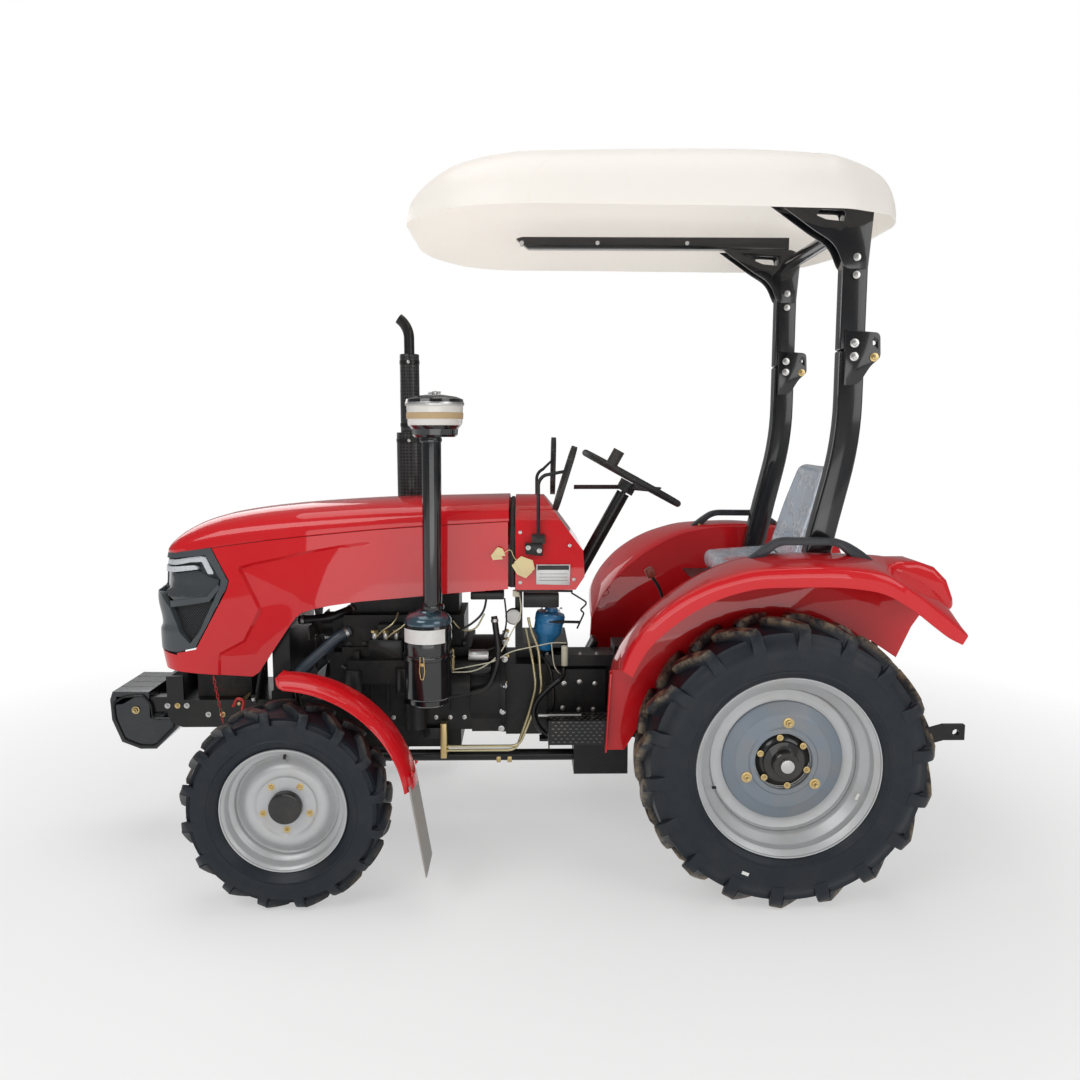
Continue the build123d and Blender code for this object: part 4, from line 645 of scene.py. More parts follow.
def smooth_row(rows, place):
    """The rest of a table's row at a place in its first column, along smooth curves."""
    rows = sorted(rows)
    place = min(max(place, rows[0][0]), rows[-1][0])
    number = max(i for i in range(len(rows) - 1) if rows[i][0] <= place)
    low, high = rows[number], rows[number + 1]
    span = high[0] - low[0]
    share = (place - low[0]) / span
    out = []
    for column in range(1, len(low)):
        rise = (high[column] - low[column]) / span
        slopes = []
        for end in (number, number + 1):
            if end in (0, len(rows) - 1):
                slopes.append(rise)
                continue
            before = (rows[end][column] - rows[end - 1][column]) / (rows[end][0] - rows[end - 1][0])
            after = (rows[end + 1][column] - rows[end][column]) / (rows[end + 1][0] - rows[end][0])
            slopes.append(0.0 if before * after <= 0 else 2 * before * after / (before + after))
        square, cube = share ** 2, share ** 3
        out.append((2 * cube - 3 * square + 1) * low[column]
                   + (cube - 2 * square + share) * span * slopes[0]
                   + (3 * square - 2 * cube) * high[column]
                   + (cube - square) * span * slopes[1])
    return out


def arch(step, steps, power):
    """Share across (-1 to 1) and share of the rise of a place on a squared arch."""
    angle = math.pi * (step / steps - 0.5)
    across = math.copysign(abs(math.sin(angle)) ** (2 / power), angle)
    return across, max(math.cos(angle), 0.0) ** (2 / power)


def sheet(bm, loops, surface, away, thickness=SKIN, cell=0.01, cuts=(), slot=0):
    """Sheet metal cut to closed loops of (a, b) places, laid on surface(a, b).

    away(point) gives the side that the outer face looks to. Cuts are straight lines, as
    pairs of places, along which the sheet may fold.
    """
    flat = bmesh.new()
    edges = []
    for loop in loops:
        verts = [flat.verts.new((a, 0.0, b)) for a, b in loop]
        edges += [flat.edges.new(pair) for pair in zip(verts, verts[1:] + verts[:1])]
    bmesh.ops.triangle_fill(flat, edges=edges, use_beauty=True, normal=(0.0, 1.0, 0.0))
    places = [vert.co for vert in flat.verts]
    lines = [(Vector((p[0], 0, p[1])), Vector((q[1] - p[1], 0, p[0] - q[0]))) for p, q in cuts]
    for axis in (0, 2):
        low, high = min(p[axis] for p in places), max(p[axis] for p in places)
        for step in range(math.ceil(low / cell), math.floor(high / cell) + 1):
            across = Vector((1, 0, 0)) if axis == 0 else Vector((0, 0, 1))
            lines.append((across * (step * cell), across))
    for point, across in lines:
        bmesh.ops.bisect_plane(flat, geom=flat.verts[:] + flat.edges[:] + flat.faces[:],
                               dist=1e-6, plane_co=point, plane_no=across.normalized())
    outer, inner = {}, {}
    for vert in flat.verts:
        vert.co = surface(vert.co.x, vert.co.z)
    flat.normal_update()
    for vert in flat.verts:
        normal = vert.normal if vert.normal.length > 0.5 else away(vert.co)
        if normal.dot(away(vert.co)) < 0:
            normal = -normal
        outer[vert] = bm.verts.new(vert.co)
        inner[vert] = bm.verts.new(vert.co - normal * thickness)
    for face in flat.faces:
        for layer in (outer, inner):
            made = bm.faces.new([layer[v] for v in face.verts])
            made.material_index = slot
    for edge in flat.edges:
        if edge.is_boundary:
            a, b = edge.verts
            made = bm.faces.new((outer[a], outer[b], inner[b], inner[a]))
            made.material_index = slot
    flat.free()


def inside(place, loop):
    """True if a place lies within a closed loop of places."""
    a, b = place
    odd = False
    for (a1, b1), (a2, b2) in zip(loop, loop[1:] + loop[:1]):
        if (b1 > b) != (b2 > b) and a < (a2 - a1) * (b - b1) / (b2 - b1) + a1:
            odd = not odd
    return odd


def reach(place, line):
    """Distance from a place to an open line of places."""
    best = 9.0
    for (a1, b1), (a2, b2) in zip(line, line[1:]):
        length = (a2 - a1) ** 2 + (b2 - b1) ** 2
        share = ((place[0] - a1) * (a2 - a1) + (place[1] - b1) * (b2 - b1)) / length
        share = min(max(share, 0.0), 1.0)
        best = min(best, math.hypot(place[0] - a1 - share * (a2 - a1),
                                    place[1] - b1 - share * (b2 - b1)))
    return best


# the folded rib from its foot up, then the sweep back from its head, as (ahead, z)
RIB = [(1.83, 0.64), (1.829, 0.708), (1.743, 0.753), (1.69, 0.857), (1.76, 1.001)]
SWEEP = [(1.76, 1.001), (1.707, 1.016), (1.613, 1.035), (1.532, 1.054), (1.411, 1.075),
         (1.3, 1.088)]
FOLD = RIB + SWEEP[1:]
BEHIND_FOLD = FOLD + [(0.8, 1.1), (0.8, 0.6), (1.83, 0.6)]
FOLD_WIDTH = 0.009
FOLD_DEPTH = 0.013


def fold_depth(ahead, z):
    """How far the side panel is pressed in at a place."""
    if not inside((ahead, z), BEHIND_FOLD):
        return 0.0
    away = reach((ahead, z), FOLD)
    along = min(max((ahead - 1.3) / 0.42, 0.0), 1.0) ** 0.8
    low = 0.35 + 0.65 * min(max((z - 0.7) / 0.2, 0.0), 1.0)
    return FOLD_DEPTH * along * low * min(away / FOLD_WIDTH, 1.0) * math.exp(-away / 0.15)


def skirt_y(ahead, z):
    """Half width of the hood's side at a place, without its folds."""
    shoulder_y, shoulder_z, _ = smooth_row(HOOD_TOP, min(ahead, 1.848))
    share = (z - SKIRT_Z) / (shoulder_z - SKIRT_Z)
    return SKIRT_HALF_WIDTH + (shoulder_y - SKIRT_HALF_WIDTH) * share


# front of the nose at its middle: height, distance ahead
NOSE_FRONT = ((0.64, 2.048), (0.714, 2.062), (0.779, 2.064), (0.8, 2.056), (0.89, 2.07),
              (0.912, 2.068), (0.924, 2.045), (0.975, 2.041), (1.026, 2.033), (1.06, 2.024))
NOSE_ROOT = 1.78            # where the nose starts to round off
NOSE_POWER = 4.0


def nose_point(side, turn, z, sunk=0.0):
    """A place round the nose: turn is 0 at its root on the side and 1 at the front middle."""
    front = smooth_row(NOSE_FRONT, z)[0] - sunk
    wide = skirt_y(NOSE_ROOT, z) - sunk
    angle = turn * math.pi / 2
    ahead = NOSE_ROOT + (front - NOSE_ROOT) * math.sin(angle) ** (2 / NOSE_POWER)
    return Vector((REAR_AXLE - ahead, side * wide * math.cos(angle) ** (2 / NOSE_POWER), z))


def nose_turn(ahead, z):
    """The turn round the nose of a place given in the side view."""
    front = smooth_row(NOSE_FRONT, z)[0]
    share = min(max((ahead - NOSE_ROOT) / (front - NOSE_ROOT), 0.0), 1.0)
    return math.asin(share ** (NOSE_POWER / 2)) / (math.pi / 2)


def side_point(side):
    """The hood's side panel as a surface of (ahead, z)."""
    def surface(ahead, z):
        front = smooth_row(NOSE_FRONT, z)[0]
        share = min(max((ahead - NOSE_ROOT) / (front - NOSE_ROOT), 0.0), 0.999)
        rounded = (1.0 - share ** NOSE_POWER) ** (1 / NOSE_POWER)
        return Vector((REAR_AXLE - ahead,
                       side * (skirt_y(ahead, z) * rounded - fold_depth(ahead, z)), z))
    return surface


JOINT = 0.0045
seam_line = [(ahead, smooth_row(HOOD_TOP, ahead)[1] - JOINT)
             for ahead in (1.843, 1.8, 1.74, 1.667, 1.56, 1.453, 1.34, 1.238, 1.1, 0.95,
                           0.847)]
side_loop = seam_line + [
    (0.847, 0.925), (1.04, 0.911), (1.228, 0.894), (1.346, 0.884), (1.446, 0.87),
    (1.508, 0.858), (1.547, 0.845), (1.566, 0.828), (1.582, 0.808), (1.681, 0.66),
    (1.69, 0.645), (1.713, 0.629), (1.84, 0.636), (1.972, 0.645), (1.972, 0.707),
    (1.904, 0.722), (1.796, 0.922), (1.787, 0.955)]
fold_cuts = []
for start, end in zip(FOLD, FOLD[1:]):
    along = (Vector(end) - Vector(start)).normalized()
    inward = Vector((along.y, -along.x))
    if not inside(tuple((Vector(start) + Vector(end)) / 2 + inward * 0.002), BEHIND_FOLD):
        inward = -inward
    for shift in (0.0, FOLD_WIDTH):
        fold_cuts.append((tuple(Vector(start) + inward * shift),
                          tuple(Vector(end) + inward * shift)))
for hand, side in (("left", -1.0), ("right", 1.0)):
    bm = bmesh.new()
    sheet(bm, [side_loop], side_point(side), lambda point, s=side: Vector((0, s, 0)),
          cuts=fold_cuts)
    panel = add_object(f"hood_side_skin_{hand}", bm, "hood", [red_paint],
                       (f"hood_side_{hand}",), sharp=24.0)

# top skin: rings of points across the hood, from the nose back
TOP_POWER = 2.8
ACROSS = 48
bm = bmesh.new()
rings = []
for number in range(97):
    share = number / 96
    ahead = HOOD_TOP[0][0] - (HOOD_TOP[0][0] - HOOD_TOP[-1][0]) * share ** 1.5
    shoulder_y, shoulder_z, crest_z = smooth_row(HOOD_TOP, ahead)
    ring = []
    for step in range(ACROSS + 1):
        across, rise = arch(step, ACROSS, TOP_POWER)
        ring.append(bm.verts.new((REAR_AXLE - ahead, shoulder_y * across,
                                  shoulder_z + (crest_z - shoulder_z) * rise)))
    rings.append(ring)
skin_rows(bm, rings)
bm.faces.new(rings[0])
made = bmesh.ops.extrude_edge_only(bm, edges=[edge for edge in bm.edges if edge.is_boundary])
for vert in [item for item in made["geom"] if isinstance(item, bmesh.types.BMVert)]:
    vert.co.z -= 0.003
    vert.co.y *= 0.992
top = add_object("hood_top_skin", bm, "hood", [red_paint], ("hood_top",), sharp=30.0)

# dark strip in the joint between top and sides: painted shade of the gap, in the rubber finish
bm = bmesh.new()
for side in (-1.0, 1.0):
    strip = []
    for ahead in (1.85, 1.76, 1.667, 1.56, 1.453, 1.34, 1.238, 1.1, 0.95, 0.847):
        shoulder_y, shoulder_z, _ = smooth_row(HOOD_TOP, ahead)
        strip.append([bm.verts.new((REAR_AXLE - ahead, side * (shoulder_y - 0.0035), shoulder_z
                                    + lift)) for lift in (-0.01, 0.003)])
    skin_rows(bm, strip)
strip = add_object("hood_joint_shade_strip", bm, "hood", [dark_rubber])

# ---- nose ----
# Moulded dark grey bezel round both lamps, with black mesh below them and slats in the
# front; a red pressed chin closes the hood under it.
bezel_grey = finish("bezel_grey", (0.06, 0.07, 0.078), 0.36, coat=0.25, grime=0.05, grain=0.25)
lamp_glass = finish("lamp_glass", (0.045, 0.052, 0.058), 0.1, coat=0.9, grime=0.02, grain=0.0)
led_white = finish("led_white", (0.62, 0.65, 0.68), 0.22, metallic=0.2, coat=0.6, grime=0.0,
                   grain=0.8, grain_size=0.002)
mesh_black = finish("mesh_black", (0.02, 0.022, 0.023), 0.45, grime=0.05)
tree = mesh_black.node_tree
shader = tree.nodes["Principled BSDF"]
_, x, _, z = object_axes(tree)
MESH_PITCH = 700.0           # radians a metre: holes about 9 mm apart
waves = [math_node(tree, "SINE", math_node(tree, "MULTIPLY", math_node(tree, way, x, z),
                                           MESH_PITCH)) for way in ("ADD", "SUBTRACT")]
wires = span_node(tree, math_node(tree, "MAXIMUM", *waves), 0.35, 0.75)
tree.links.new(mix_colours(tree, wires, (0.001, 0.001, 0.001), (0.05, 0.054, 0.056)),
               shader.inputs["Base Color"])
tree.links.new(bump_node(tree, wires, 0.9, 0.004), shader.inputs["Normal"])
NOSE_PAINTS = [bezel_grey, lamp_glass, led_white, mesh_black, red_paint]
BEZEL, GLASS, LED, MESH, RED = range(5)


STRETCH = 4                  # points on each stretch of a loop round the nose


def around(places):
    """Turn a loop of side-view places into places round the nose, with points between."""
    out = []
    for (a1, z1), (a2, z2) in zip(places, places[1:] + places[:1]):
        for step in range(STRETCH):
            share = step / STRETCH
            ahead, z = a1 + (a2 - a1) * share, z1 + (z2 - z1) * share
            out.append((nose_turn(ahead, z), z))
    return out


def front_share(y, z):
    """The turn round the nose of a place on its front face, by its distance from the middle."""
    wide = skirt_y(NOSE_ROOT, z)
    return math.acos(min(y / wide, 1.0) ** (NOSE_POWER / 2)) / (math.pi / 2)


lamp_front = front_share(0.095, 0.98)
nose_outer = (around([(1.984, 1.0475), (1.846, 1.066), (1.79, 0.954), (1.799, 0.923),
                      (1.906, 0.727), (1.978, 0.711)])[:-STRETCH]
              + [(nose_turn(1.978, 0.711), 0.711), (0.8, 0.715), (1.0, 0.716), (1.0, 1.044),
                 (0.86, 1.044)])
nose_hole = (around([(1.99, 1.0275), (1.926, 1.035), (1.864, 1.041), (1.814, 0.957),
                     (1.82, 0.927), (1.893, 0.779), (1.924, 0.741), (1.958, 0.776),
                     (1.996, 0.862)])[:1 - STRETCH]
             + [(nose_turn(2.03, 0.905), 0.905), (lamp_front, 0.93), (lamp_front, 1.026)])
# horizontal slats in the front, between the lamps
slat_holes = []
for number in range(6):
    low = 0.745 + number * 0.026
    half = front_share(0.088, low)
    slat_holes.append([(half, low), (0.999, low), (0.999, low + 0.014), (half, low + 0.014)])
led_upper = (around([(1.984, 1.0225), (1.926, 1.0325), (1.886, 1.037), (1.869, 1.034),
                     (1.843, 0.983), (1.845, 0.976), (1.862, 0.977), (1.883, 1.018),
                     (1.923, 1.016), (1.984, 1.004)])[:-STRETCH]
             + [(nose_turn(1.984, 1.004), 1.004), (0.8, 1.0035), (0.8, 1.018)])
led_lower = (around([(1.994, 0.999), (1.907, 1.007), (1.894, 1.002), (1.894, 0.993),
                     (1.985, 0.981)])[:-STRETCH]
             + [(nose_turn(1.985, 0.981), 0.981), (0.86, 0.981), (0.86, 0.997)])
lamp_face = (around([(1.985, 0.977), (1.901, 0.988), (1.862, 0.966), (1.826, 0.957),
                     (1.829, 0.942), (1.864, 0.9), (1.99, 0.884)])[:-STRETCH]
             + [(nose_turn(1.99, 0.884), 0.884), (nose_turn(2.024, 0.93), 0.93),
                (lamp_front, 0.932), (lamp_front, 0.978)])
ledge_face = around([(1.996, 0.884), (1.864, 0.901), (1.826, 0.944), (1.819, 0.93),
                     (1.857, 0.884), (1.996, 0.862)])
mesh_face = around([(2.004, 0.87), (1.856, 0.89), (1.85, 0.862), (1.886, 0.785),
                    (1.926, 0.735), (1.966, 0.776)])
# loops, how far sunk, thickness, finish
NOSE_SHEETS = (
    ([nose_outer, nose_hole] + slat_holes, 0.0, 0.022, BEZEL),
    ([led_upper], 0.008, 0.01, LED), ([led_lower], 0.002, 0.016, LED),
    ([lamp_face], 0.012, 0.02, GLASS), ([ledge_face], 0.003, 0.02, BEZEL),
    ([mesh_face], 0.02, 0.004, MESH),
    ([around([(1.996, 1.032), (1.86, 1.045), (1.806, 0.957), (1.812, 0.922), (1.89, 0.772),
              (1.924, 0.733), (1.966, 0.776)])], 0.03, 0.003, BEZEL),
    ([[(0.26, 0.69), (0.8, 0.69), (0.8, 0.732), (0.26, 0.732)]], 0.014, 0.003, BEZEL),
    ([[(0.62, 0.72), (1.0, 0.72), (1.0, 1.04), (0.62, 1.04)]], 0.03, 0.003, MESH),
)
NOSE_CELL = 0.014
bm = bmesh.new()
for side in (-1.0, 1.0):
    for loops, sunk, thickness, slot in NOSE_SHEETS:
        sheet(bm, loops, lambda turn, z, s=side, d=sunk: nose_point(s, turn, z, d),
              lambda point, s=side: Vector((-0.4, s * 0.6, 0.0)), thickness, NOSE_CELL, (), slot)
    chin = [(nose_turn(1.974, 0.7), 0.7), (0.75, 0.7115), (1.0, 0.712), (1.0, 0.651),
            (0.75, 0.65), (nose_turn(1.974, 0.645), 0.645)]
    sheet(bm, [chin], lambda turn, z, s=side: nose_point(s, turn, z, 0.002),
          lambda point, s=side: Vector((-0.4, s * 0.6, 0.0)), SKIN, NOSE_CELL, (), RED)
nose = add_object("hood_nose_bezel", bm, "hood", NOSE_PAINTS, ("hood_nose", "headlamps"),
                  sharp=28.0)

# ---- cowl trim ----
# Behind the hood a foam rubber seal fills the gap to the instrument cowl. On the cowl's
# left side hang two blank paper tags on a string beside a blank riveted plate, and a
# clamp with two pale nuts holds the mirror arm.
def spot(ahead, y, z):
    """A point from its distance ahead of the rear axle, across and up, in millimetres."""
    return Vector((REAR_AXLE - ahead / 1000, y / 1000, z / 1000))


def join(bm, work):
    """Move the faces of one bmesh into another."""
    mesh = bpy.data.meshes.new("joined")
    work.to_mesh(mesh)
    work.free()
    bm.from_mesh(mesh)
    bpy.data.meshes.remove(mesh)


def plate(bm, outline, low_y, high_y, bevel=1.5, slot=0, holes=(), segments=2):
    """Plate cut to a side-view outline of (ahead, z), between two distances across."""
    work = bmesh.new()
    edges = []
    for loop in [outline, *holes]:
        ring = [work.verts.new(spot(ahead, low_y, z)) for ahead, z in loop]
        edges += [work.edges.new(pair) for pair in zip(ring, ring[1:] + ring[:1])]
    bmesh.ops.triangle_fill(work, edges=edges, use_beauty=True, normal=(0.0, 1.0, 0.0))
    bmesh.ops.dissolve_limit(work, angle_limit=0.01, verts=work.verts[:], edges=work.edges[:])
    made = bmesh.ops.extrude_face_region(work, geom=work.faces[:])
    moved = [item for item in made["geom"] if isinstance(item, bmesh.types.BMVert)]
    bmesh.ops.translate(work, verts=moved, vec=(0.0, (high_y - low_y) / 1000, 0.0))
    bmesh.ops.recalc_face_normals(work, faces=work.faces)
    if bevel:
        sharp = [edge for edge in work.edges
                 if len(edge.link_faces) == 2 and edge.calc_face_angle(0.0) > 0.7]
        bmesh.ops.bevel(work, geom=sharp, offset=bevel / 1000, segments=segments, profile=0.5,
                        affect="EDGES", clamp_overlap=True)
    for face in work.faces:
        face.material_index = slot
    join(bm, work)


CORNER_STEPS = 6


def corner(here, back, on, size):
    """Points of the curve that rounds a corner, from its ways back and on."""
    start, end = here + back.normalized() * size, here + on.normalized() * size
    shares = [step / CORNER_STEPS for step in range(CORNER_STEPS + 1)]
    return [start * (1 - share) ** 2 + here * 2 * share * (1 - share) + end * share ** 2
            for share in shares]


def rounded(points, bend):
    """A path of points with its corners rounded to a bend radius, in metres."""
    points = [Vector(point) for point in points]
    out = [points[0]]
    for before, here, after in zip(points, points[1:], points[2:]):
        back, on = before - here, after - here
        out += corner(here, back, on, min(bend, back.length * 0.48, on.length * 0.48))
    return out + [points[-1]]


def tube(bm, points, radius, slot=0, segments=12, bend=0.02):
    """Round tube or hose along a path, its corners rounded and its ends closed."""
    path = rounded(points, bend) if bend else [Vector(point) for point in points]
    rings = []
    across = None
    for number, here in enumerate(path):
        way = path[min(number + 1, len(path) - 1)] - path[max(number - 1, 0)]
        way.normalize()
        across = way.orthogonal() if across is None else across - way * across.dot(way)
        across.normalize()
        other = way.cross(across)
        rings.append([bm.verts.new(here + across * radius * math.cos(turn)
                                   + other * radius * math.sin(turn))
                      for turn in (math.tau * step / segments for step in range(segments))])
    for first, second in zip(rings, rings[1:]):
        for step in range(segments):
            face = bm.faces.new((first[step - 1], first[step], second[step], second[step - 1]))
            face.material_index = slot
    for ring in (rings[0], rings[-1]):
        bm.faces.new(ring).material_index = slot


tag_paper = finish("tag_paper", (0.78, 0.66, 0.36), 0.6, grime=0.1, grain=0.3)
plate_silver = finish("plate_silver", (0.6, 0.61, 0.6), 0.38, metallic=0.5, grime=0.1)
plate_black = finish("plate_black", (0.03, 0.03, 0.032), 0.4, grime=0.05)
COWL_PAINTS = [dark_rubber, tag_paper, plate_silver, plate_black, bright_steel, frame_black]
SEAL, PAPER, PLATE, RULE, NUT, CLAMP = range(6)
bm = bmesh.new()
# the seal: an arch across the machine between hood and cowl, with a backing on each side
arch_front = []
for step in range(61):
    across, rise = arch(step, 60, TOP_POWER)
    arch_front.append((206 * across, 1148 + 65 * rise))
path = [(-228, 932), (-224, 960), (-216, 1060)] + arch_front + [(216, 1060), (224, 960), (228, 932)]
tube(bm, [spot(831.5, y, z) for y, z in path], 0.0085, SEAL, 12, bend=0)
for side in (-1, 1):
    low_y, high_y = sorted((side * 212, side * 218))
    plate(bm, ((852, 932), (822, 930), (822, 1140), (836, 1140)), low_y, high_y, 1.0, SEAL)
seal = add_object("cowl_seal", bm, "chassis", COWL_PAINTS, sharp=50.0)
bm = bmesh.new()
# two paper tags of two leaves each, on a string
TAGS = (((895, 1054), (881, 1071), (864, 1066), (855, 1042), (888, 1039)),
        ((826, 1022), (802, 1041), (764, 1027), (757, 998), (778, 978), (807, 991)))
for number, outline in enumerate(TAGS):
    plate(bm, outline, -246 - number * 5, -245 - number * 5, 0.2, PAPER)
    plate(bm, [(a + 9, z - 12) for a, z in outline], -243 - number * 5, -242 - number * 5,
          0.2, PAPER)
tube(bm, [spot(862, -245, 1050), spot(838, -244, 1066), spot(826, -246, 1034),
          spot(812, -248, 1022)], 0.0012, PAPER, 6)
# the blank plate with its dark header, held by four rivets
plate(bm, ((752, 1011), (638, 1011), (639, 941), (752, 944)), -240.2, -238.5, 0.5, PLATE)
plate(bm, ((748, 1008), (642, 1008), (642, 993), (748, 993)), -240.6, -239.6, 0.1, RULE)
for ahead, z in ((747, 949), (643, 946), (747, 990), (643, 990)):
    rod(bm, spot(ahead, -240, z), spot(ahead, -241.8, z), 0.0022, NUT, 12, 0.0006)
# three ruled lines with nothing written between them
for number in range(3):
    z = 980 - number * 11
    plate(bm, ((742, z), (648, z), (648, z - 1.2), (742, z - 1.2)), -240.5, -240.0, 0, RULE)
# mirror clamp with two nuts
plate(bm, ((790, 1085), (731, 1085), (731, 1040), (788, 1047)), -249, -240, 2.5, CLAMP)
for ahead, z in ((779, 1069), (742, 1059)):
    bolt(bm, spot(ahead, -249, z), (0, -1, 0), 0.0085, NUT, length=0.01)
# rubber edging along the cowl's lower edge and small screws in its rear rim
tube(bm, [spot(ahead, -237, z) for ahead, z in ((818, 922), (700, 921), (629, 920))], 0.004,
     SEAL, 8)
for ahead, z in ((806, 1120), (806, 950), (640, 1075), (625, 960)):
    bolt(bm, spot(ahead, -238.5, z), (0, -1, 0), 0.006, NUT, length=0.002)
add_object("cowl_trim", bm, "chassis", COWL_PAINTS, sharp=40.0)

# ---- canopy ----
# One thin moulded sheet of off-white plastic, rounded in plan and domed, that lets some
# light through. Folded stiffening ribs run across it and a lip is turned down all round.
canopy_sheet = bpy.data.materials.new("canopy_sheet")
canopy_sheet.use_nodes = True
tree = canopy_sheet.node_tree
shader = tree.nodes["Principled BSDF"]
surface = tree.nodes.new("ShaderNodeGroup")
surface.node_tree = surface_group
place, x, y, _ = object_axes(tree)
base = mix_colours(tree, surface.outputs["Broad"], (0.93, 0.915, 0.88), (0.96, 0.95, 0.93))
# faint darker lines in two slanting sets, broken up by noise
slant_waves = [math_node(tree, "ABSOLUTE", math_node(tree, "SINE", math_node(
    tree, "MULTIPLY", math_node(tree, way, x, math_node(tree, "MULTIPLY", y, slant)), pitch)))
    for way, slant, pitch in (("ADD", 0.55, 9.5), ("SUBTRACT", 0.9, 6.2))]
lines = span_node(tree, math_node(tree, "MINIMUM", *slant_waves), 0.0, 0.035, 1.0, 0.0)
broken = span_node(tree, noise_node(tree, place, 5.0, 3.0), 0.42, 0.62)
faint = math_node(tree, "MULTIPLY", math_node(tree, "MULTIPLY", lines, broken), 0.22)
tree.links.new(mix_colours(tree, faint, base, (0.62, 0.55, 0.49)), shader.inputs["Base Color"])
# painted glow: the emission stands in for the light pushed through the sheet from above
dial(shader, {"Roughness": 0.38, "Emission Color": (1.0, 0.97, 0.92, 1.0),
              "Emission Strength": 0.13})
through = tree.nodes.new("ShaderNodeBsdfTranslucent")
dial(through, {"Color": (0.98, 0.96, 0.92, 1.0)})
show_mix(tree, 0.55, shader.outputs["BSDF"], through.outputs["BSDF"], "Material Output")

# distance ahead, half width, height of the edge, height of the crest
CANOPY = (
    (1.173, 0.18, 2.12, 2.17), (1.168, 0.225, 2.119, 2.186), (1.153, 0.28, 2.117, 2.212),
    (1.132, 0.325, 2.114, 2.234), (1.074, 0.412, 2.111, 2.276), (1.0000, 0.49, 2.109, 2.308),
    (0.87, 0.541, 2.108, 2.336), (0.78, 0.55, 2.108, 2.346), (0.18, 0.55, 2.104, 2.357),
    (-0.13, 0.54, 2.101, 2.346), (-0.237, 0.494, 2.102, 2.326), (-0.311, 0.44, 2.104, 2.298),
    (-0.365, 0.35, 2.108, 2.252), (-0.395, 0.262, 2.112, 2.212), (-0.404, 0.215, 2.114, 2.19))
CANOPY_POWER = 2.4
CANOPY_SKIN = 0.005
RIB_LINES = (0.85, 0.18, -0.1)
CANOPY_STATIONS, CANOPY_ACROSS = 120, 72
front, rear = CANOPY[0][0], CANOPY[-1][0]
bm = bmesh.new()
layers = []
for shrink in (0.0, CANOPY_SKIN):
    rings = []
    for number in range(CANOPY_STATIONS + 1):
        turn = number / CANOPY_STATIONS
        # stations lie closer towards both ends
        ease = 0.5 - 0.5 * math.cos(math.pi * turn)
        ahead = front - (front - rear) * (0.65 * ease + 0.35 * turn)
        half, edge_z, crest_z = smooth_row(CANOPY, ahead)
        ahead = min(max(ahead, rear + shrink), front - shrink)
        rib = sum(math.exp(-((ahead - line) / 0.007) ** 2) for line in RIB_LINES) * 0.003
        ring = []
        for step in range(CANOPY_ACROSS + 1):
            across, rise = arch(step, CANOPY_ACROSS, CANOPY_POWER)
            ring.append(bm.verts.new((REAR_AXLE - ahead, (half - shrink) * across,
                                      edge_z + (crest_z - shrink - edge_z) * rise
                                      - rib * min(rise * 3, 1.0))))
        # the lip turned down along the edge
        low = [bm.verts.new((ring[end].co.x, ring[end].co.y, edge_z - 0.003)) for end in (0, -1)]
        rings.append([low[0]] + ring + [low[1]])
    skin_rows(bm, rings)
    layers.append(rings)
outer, inner = layers
for end in (0, -1):
    for first, second, near, far in zip(outer, outer[1:], inner, inner[1:]):
        bm.faces.new((first[end], second[end], far[end], near[end]))
for rings in (outer, inner):
    for end in (0, -1):
        bm.faces.new(rings[end])
canopy = add_object("canopy_sheet", bm, "canopy_frame", [canopy_sheet], ("canopy",), sharp=34.0)

# ---- rear fenders ----
# Each is pressed from sheet steel: a crowned top that falls away to the rear outside, a
# rolled crease, a flat skirt with a turned edge, and an upright inner wall that runs down
# to the platform. A moulded lamp with a red lens closes its tail.
# places along it, each (ahead, z): outer crease, bottom of the skirt, inner edge
FENDER = (
    ((508, 766), (478, 746), (518, 690)), ((490, 812), (455, 792), (499, 735)),
    ((465, 857), (428, 832), (475, 785)), ((406, 927), (372, 886), (427, 850)),
    ((309, 996), (285, 947), (344, 930)), ((212, 1036), (196, 986), (243, 998)),
    ((95, 1060), (88, 1007), (120, 1049)), ((-82, 1065), (-80, 1009), (-40, 1070)),
    ((-230, 1050), (-226, 994), (-184, 1068)), ((-332, 995), (-326, 945), (-323, 1063)),
    ((-414, 934), (-402, 888), (-428, 1034)), ((-460, 898), (-446, 856), (-482, 985)),
    ((-498, 866), (-482, 838), (-506, 918)))
FENDER_IN, FENDER_OUT = 410, 688
FENDER_SKIN = 3.0
# across: share of the way from inner edge to crease, lift of the crown, drop into the crease
CROWN = ((0.0, 0.0), (0.05, 6.0), (0.15, 10.5), (0.3, 13.0), (0.5, 13.5), (0.7, 11.5),
         (0.85, 8.0), (0.93, 4.6), (0.975, 1.6), (1.0, -3.0))
lens_red = finish("lens_red", (0.5, 0.01, 0.012), 0.14, coat=0.8, grime=0.05, grain=0.3)
FENDER_PAINTS = [red_paint, dark_plastic, lens_red, plated_bolt]
SHEET, PAD, LENS, FOOT_BOLT = range(4)


def thicken(bm, faces, thickness):
    """Give a sheet of one layer its thickness, against the normals of its vertices."""
    under = {vert: bm.verts.new(vert.co - vert.normal * thickness) for vert in bm.verts[:]}
    for face in faces:
        bm.faces.new([under[vert] for vert in face.verts])
    for edge in [edge for edge in bm.edges if edge.is_boundary]:
        a, b = edge.verts
        if a in under and b in under:
            bm.faces.new((a, b, under[b], under[a]))


